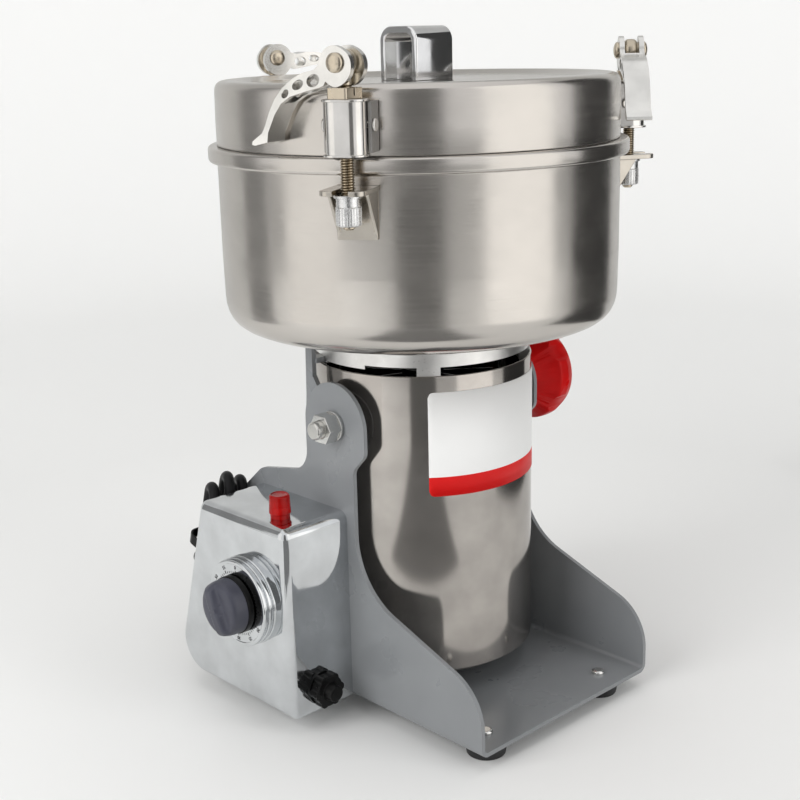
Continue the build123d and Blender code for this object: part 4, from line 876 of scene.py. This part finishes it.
def add_cord():
    """The mains cord as one line: out of its gland, round on the table, up into its hank and to the plug."""
    route = [at(*p) for p in lead_route + hank_points() + tail_route]
    curve = bpy.data.curves.new("mains_cord", "CURVE")
    curve.dimensions = "3D"
    curve.bevel_depth = cord_radius
    curve.bevel_resolution = 5
    curve.resolution_u = 6
    spline = curve.splines.new("NURBS")
    spline.points.add(len(route) - 1)
    for point, place in zip(spline.points, route):
        point.co = (*place, 1.0)
    spline.order_u = 3
    spline.use_endpoint_u = True
    curve.materials.append(cord_sheath)
    obj = bpy.data.objects.new("mains_cord", curve)
    bpy.context.scene.collection.objects.link(obj)
    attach(obj, "stand")
    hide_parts("power_cord", "cord_hank")


# ---------------------------------------------------------------- stage
far_side = 46.6
floor_reach = 1.15
backdrop_bend = 0.55
backdrop_top = 2.4
apron_reach = 3.0
floor_glow = 0.02
backdrop_glow = 0.31
card_distance = 0.75
card_height = 0.95
card_lift = 0.003
# Each card: azimuth from the camera's, how near its foot comes, width, shade and glow.
cards = (
    (0.0, 0.26, 0.34, 0.20, 0.0),
    (53.0, 0.70, 0.54, 0.1, 1.30),
    (-58.0, 0.70, 0.46, 0.1, 1.05),
    (107.0, 0.42, 0.56, 0.04, 0.0),
    (-99.0, 0.60, 0.28, 0.30, 0.0),
)


def half_circle(radius, height, middle, sides):
    """Places along half a circle about the upright axis, its middle at this many degrees."""
    angles = (radians(middle + 180 * (k / sides - 0.5)) for k in range(sides + 1))
    return [(radius * cos(a), radius * sin(a), height) for a in angles]


def camera_share(tree, *kinds):
    """1 for the rays of these kinds, else 0."""
    path = node(tree, "ShaderNodeLightPath")
    share = path.outputs[kinds[0]]
    for kind in kinds[1:]:
        either = node(tree, "ShaderNodeMath", operation="MAXIMUM")
        tree.links.new(share, either.inputs[0])
        tree.links.new(path.outputs[kind], either.inputs[1])
        share = either.outputs[0]
    return share


def add_floor():
    """A pale floor that turns up behind into a backdrop, a little brighter to the camera than to the mill."""
    pale = (0.82, 0.82, 0.81)
    mat, tree, shader = new_material("floor", Base_Color=pale, Roughness=0.7, Specular_IOR_Level=0.2)
    glow = node(tree, "ShaderNodeEmission")
    glow.inputs["Color"].default_value = (1.0, 1.0, 1.0, 1)
    strength = node(tree, "ShaderNodeMath", operation="MULTIPLY")
    tree.links.new(camera_share(tree, "Is Camera Ray"), strength.inputs[0])
    reach = node(tree, "ShaderNodeVectorMath", operation="LENGTH")
    tree.links.new(object_point(tree), reach.inputs[0])
    brighter = spread(tree, reach.outputs["Value"], floor_glow, backdrop_glow, 0.5, 2.0)
    tree.links.new(brighter, strength.inputs[1])
    tree.links.new(strength.outputs[0], glow.inputs["Strength"])
    both = node(tree, "ShaderNodeAddShader")
    tree.links.new(shader.outputs[0], both.inputs[0])
    tree.links.new(glow.outputs[0], both.inputs[1])
    tree.links.new(both.outputs[0], tree.nodes["Material Output"].inputs["Surface"])
    bm = bmesh.new()
    steps = 12
    sides = 48
    profile = [(floor_reach, 0.0)]
    for step in range(1, steps + 1):
        turn = pi / 2 * step / steps
        profile.append((floor_reach + backdrop_bend * sin(turn), backdrop_bend * (1 - cos(turn))))
    profile.append((floor_reach + backdrop_bend, backdrop_top))
    rows = [[bm.verts.new((0, 0, 0))]]
    for radius, height in profile:
        rows.append([bm.verts.new(place) for place in half_circle(radius, height, far_side, sides)])
    for one, two in zip(rows, rows[1:]):
        for k in range(sides):
            corners = [one[k % len(one)], two[k], two[k + 1], one[(k + 1) % len(one)]]
            bm.faces.new(list(dict.fromkeys(corners)))
    apron = half_circle(apron_reach, 0, far_side + 180, 24)
    bm.faces.new([bm.verts.new(place) for place in apron])
    mesh = bpy.data.meshes.new("floor")
    bm.to_mesh(mesh)
    bm.free()
    mesh.shade_smooth()
    mesh.materials.append(mat)
    obj = bpy.data.objects.new("floor", mesh)
    bpy.context.scene.collection.objects.link(obj)


def add_world():
    """An even grey sky, paler to the camera and to reflections."""
    world = bpy.data.worlds.new("studio")
    bpy.context.scene.world = world
    world.use_nodes = True
    tree = world.node_tree
    background = tree.nodes["Background"]
    background.inputs["Color"].default_value = (0.82, 0.82, 0.82, 1)
    background.inputs["Strength"].default_value = 0.55
    seen = node(tree, "ShaderNodeBackground")
    seen.inputs["Color"].default_value = (0.93, 0.93, 0.935, 1)
    seen.inputs["Strength"].default_value = 1.0
    mix = node(tree, "ShaderNodeMixShader")
    share = camera_share(tree, "Is Camera Ray", "Is Glossy Ray", "Is Transmission Ray")
    tree.links.new(share, mix.inputs[0])
    tree.links.new(background.outputs[0], mix.inputs[1])
    tree.links.new(seen.outputs[0], mix.inputs[2])
    tree.links.new(mix.outputs[0], tree.nodes["World Output"].inputs["Surface"])


def add_lamp(name, place, aim, size, power):
    """A broad lamp that reflections don't see."""
    data = bpy.data.lights.new(name, "AREA")
    data.shape = "RECTANGLE"
    data.size, data.size_y = size
    data.energy = power
    obj = bpy.data.objects.new(name, data)
    direction = (Vector(aim) - Vector(place)).to_track_quat("-Z", "Y")
    obj.matrix_world = Matrix.Translation(place) @ direction.to_matrix().to_4x4()
    obj.visible_glossy = False
    bpy.context.scene.collection.objects.link(obj)


def around(azimuth, distance, height):
    """A place round the mill, by azimuth from its front, as the camera's is given."""
    return Vector((distance * sin(radians(azimuth)), -distance * cos(radians(azimuth)), height))


def add_card(name, azimuth, near, width, shade, glow):
    """A card that only reflections see, dark or glowing. Its foot lies on the floor."""
    mat, _, shader = new_material(name, Base_Color=(shade, shade, shade), Roughness=1.0)
    shader.inputs["Emission Color"].default_value = (1.0, 0.985, 0.96, 1)
    shader.inputs["Emission Strength"].default_value = glow
    across = around(azimuth + 90, width / 2, 0)
    bm = bmesh.new()
    rows = []
    for distance, height in ((near, card_lift), (card_distance, card_lift), (card_distance, card_height)):
        place = around(azimuth, distance, height)
        rows.append((bm.verts.new(place - across), bm.verts.new(place + across)))
    for one, two in zip(rows, rows[1:]):
        bm.faces.new((one[0], one[1], two[1], two[0]))
    mesh = bpy.data.meshes.new(name)
    bm.to_mesh(mesh)
    bm.free()
    mesh.materials.append(mat)
    obj = bpy.data.objects.new(name, mesh)
    obj.visible_camera = False
    obj.visible_diffuse = False
    obj.visible_shadow = False
    bpy.context.scene.collection.objects.link(obj)


# ---------------------------------------------------------------- assembly
bpy.context.scene.view_settings.view_transform = "Standard"
add_camera()
add_cord()
add_floor()
add_world()
lit_point = (0, 0, 0.2)
add_lamp("key", around(-95, 1.3, 0.75), lit_point, size=(0.9, 1.1), power=12)
add_lamp("fill", around(15, 1.5, 0.7), lit_point, size=(0.7, 1.2), power=6.5)
add_lamp("top", (0.1, 0.1, 1.5), lit_point, size=(1.3, 1.3), power=7)
for index, (turn, near, width, shade, glow) in enumerate(cards):
    add_card(f"card_{index}", camera_azimuth + turn, near, width, shade, glow)

# Pieces that only take a material.
plain_nodes = {
    "foot_screws": zinc, "timer_body": black_plastic, "fuse_holder": black_plastic,
    "bottom_cover": barrel_steel, "lower_bracket": aluminium, "tie_bolts": zinc,
    "stator_core": lamination, "stator_windings": copper, "brush_holders": brown_plastic,
    "carbon_brushes": black_plastic, "ball_bearings": zinc, "rotor_shaft": zinc,
    "armature_core": lamination, "armature_windings": copper, "commutator": copper,
    "cooling_fan": black_plastic, "power_plug": black_plastic, "cord_tie": black_plastic,
    "bowl_screws": zinc, "shaft_seal": black_rubber, "blade_spacer": nickel,
    "blade_nut": nickel, "lid_gasket": silicone, "arm_screws": zinc,
}
for name, mat in plain_nodes.items():
    dress(name, mat)

# Pieces whose edges are also rounded a little, with the width of that rounding.
eased_nodes = {
    "base_bracket": (paint, 0.5 * mm), "rubber_feet": (black_rubber, 0.4 * mm),
    "control_box_cover": (box_chrome, 0.3 * mm), "fuse_cap": (black_plastic, 0.6 * mm),
    "end_bell": (aluminium, 0.5 * mm), "pivot_arms": (arm_paint, 0.4 * mm),
    "pivot_studs": (stud_metal, 0.2 * mm), "pivot_washer": (zinc, 0.3 * mm),
    "pivot_nut": (zinc, 0.6 * mm), "star_knob": (red_plastic, 1.6 * mm),
    "cutting_blades": (nickel, 0.3 * mm), "hook_plates": (hook_nickel, 0.4 * mm),
    "lid_handle": (handle_chrome, 0.5 * mm), "clamp_lugs": (dull_steel, 0.3 * mm),
    "clamp_rivets": (nickel, 0.6 * mm), "clamp_saddles": (bronze, 0.5 * mm),
    "clamp_lever_rear": (bright_nickel, 0.5 * mm), "clamp_lever_left": (bright_nickel, 0.5 * mm),
    "clamp_lever_right": (bright_nickel, 0.5 * mm), "cord_gland": (black_rubber, 0.5 * mm),
}
usual_crease = 32.0
wide_creases = {"star_knob": 50.0, "lid_handle": 50.0, "clamp_rivets": 50.0}
for name, (mat, width) in eased_nodes.items():
    soften(name, mat, width, wide_creases.get(name, usual_crease))

add_bowl()
add_lid()
add_barrel()
add_label()
add_sleeves()
for name in clamp_angles:
    add_rod(name)
    add_nut(name)
add_timer_dial()
add_timer_knob()
add_pilot_lamp()
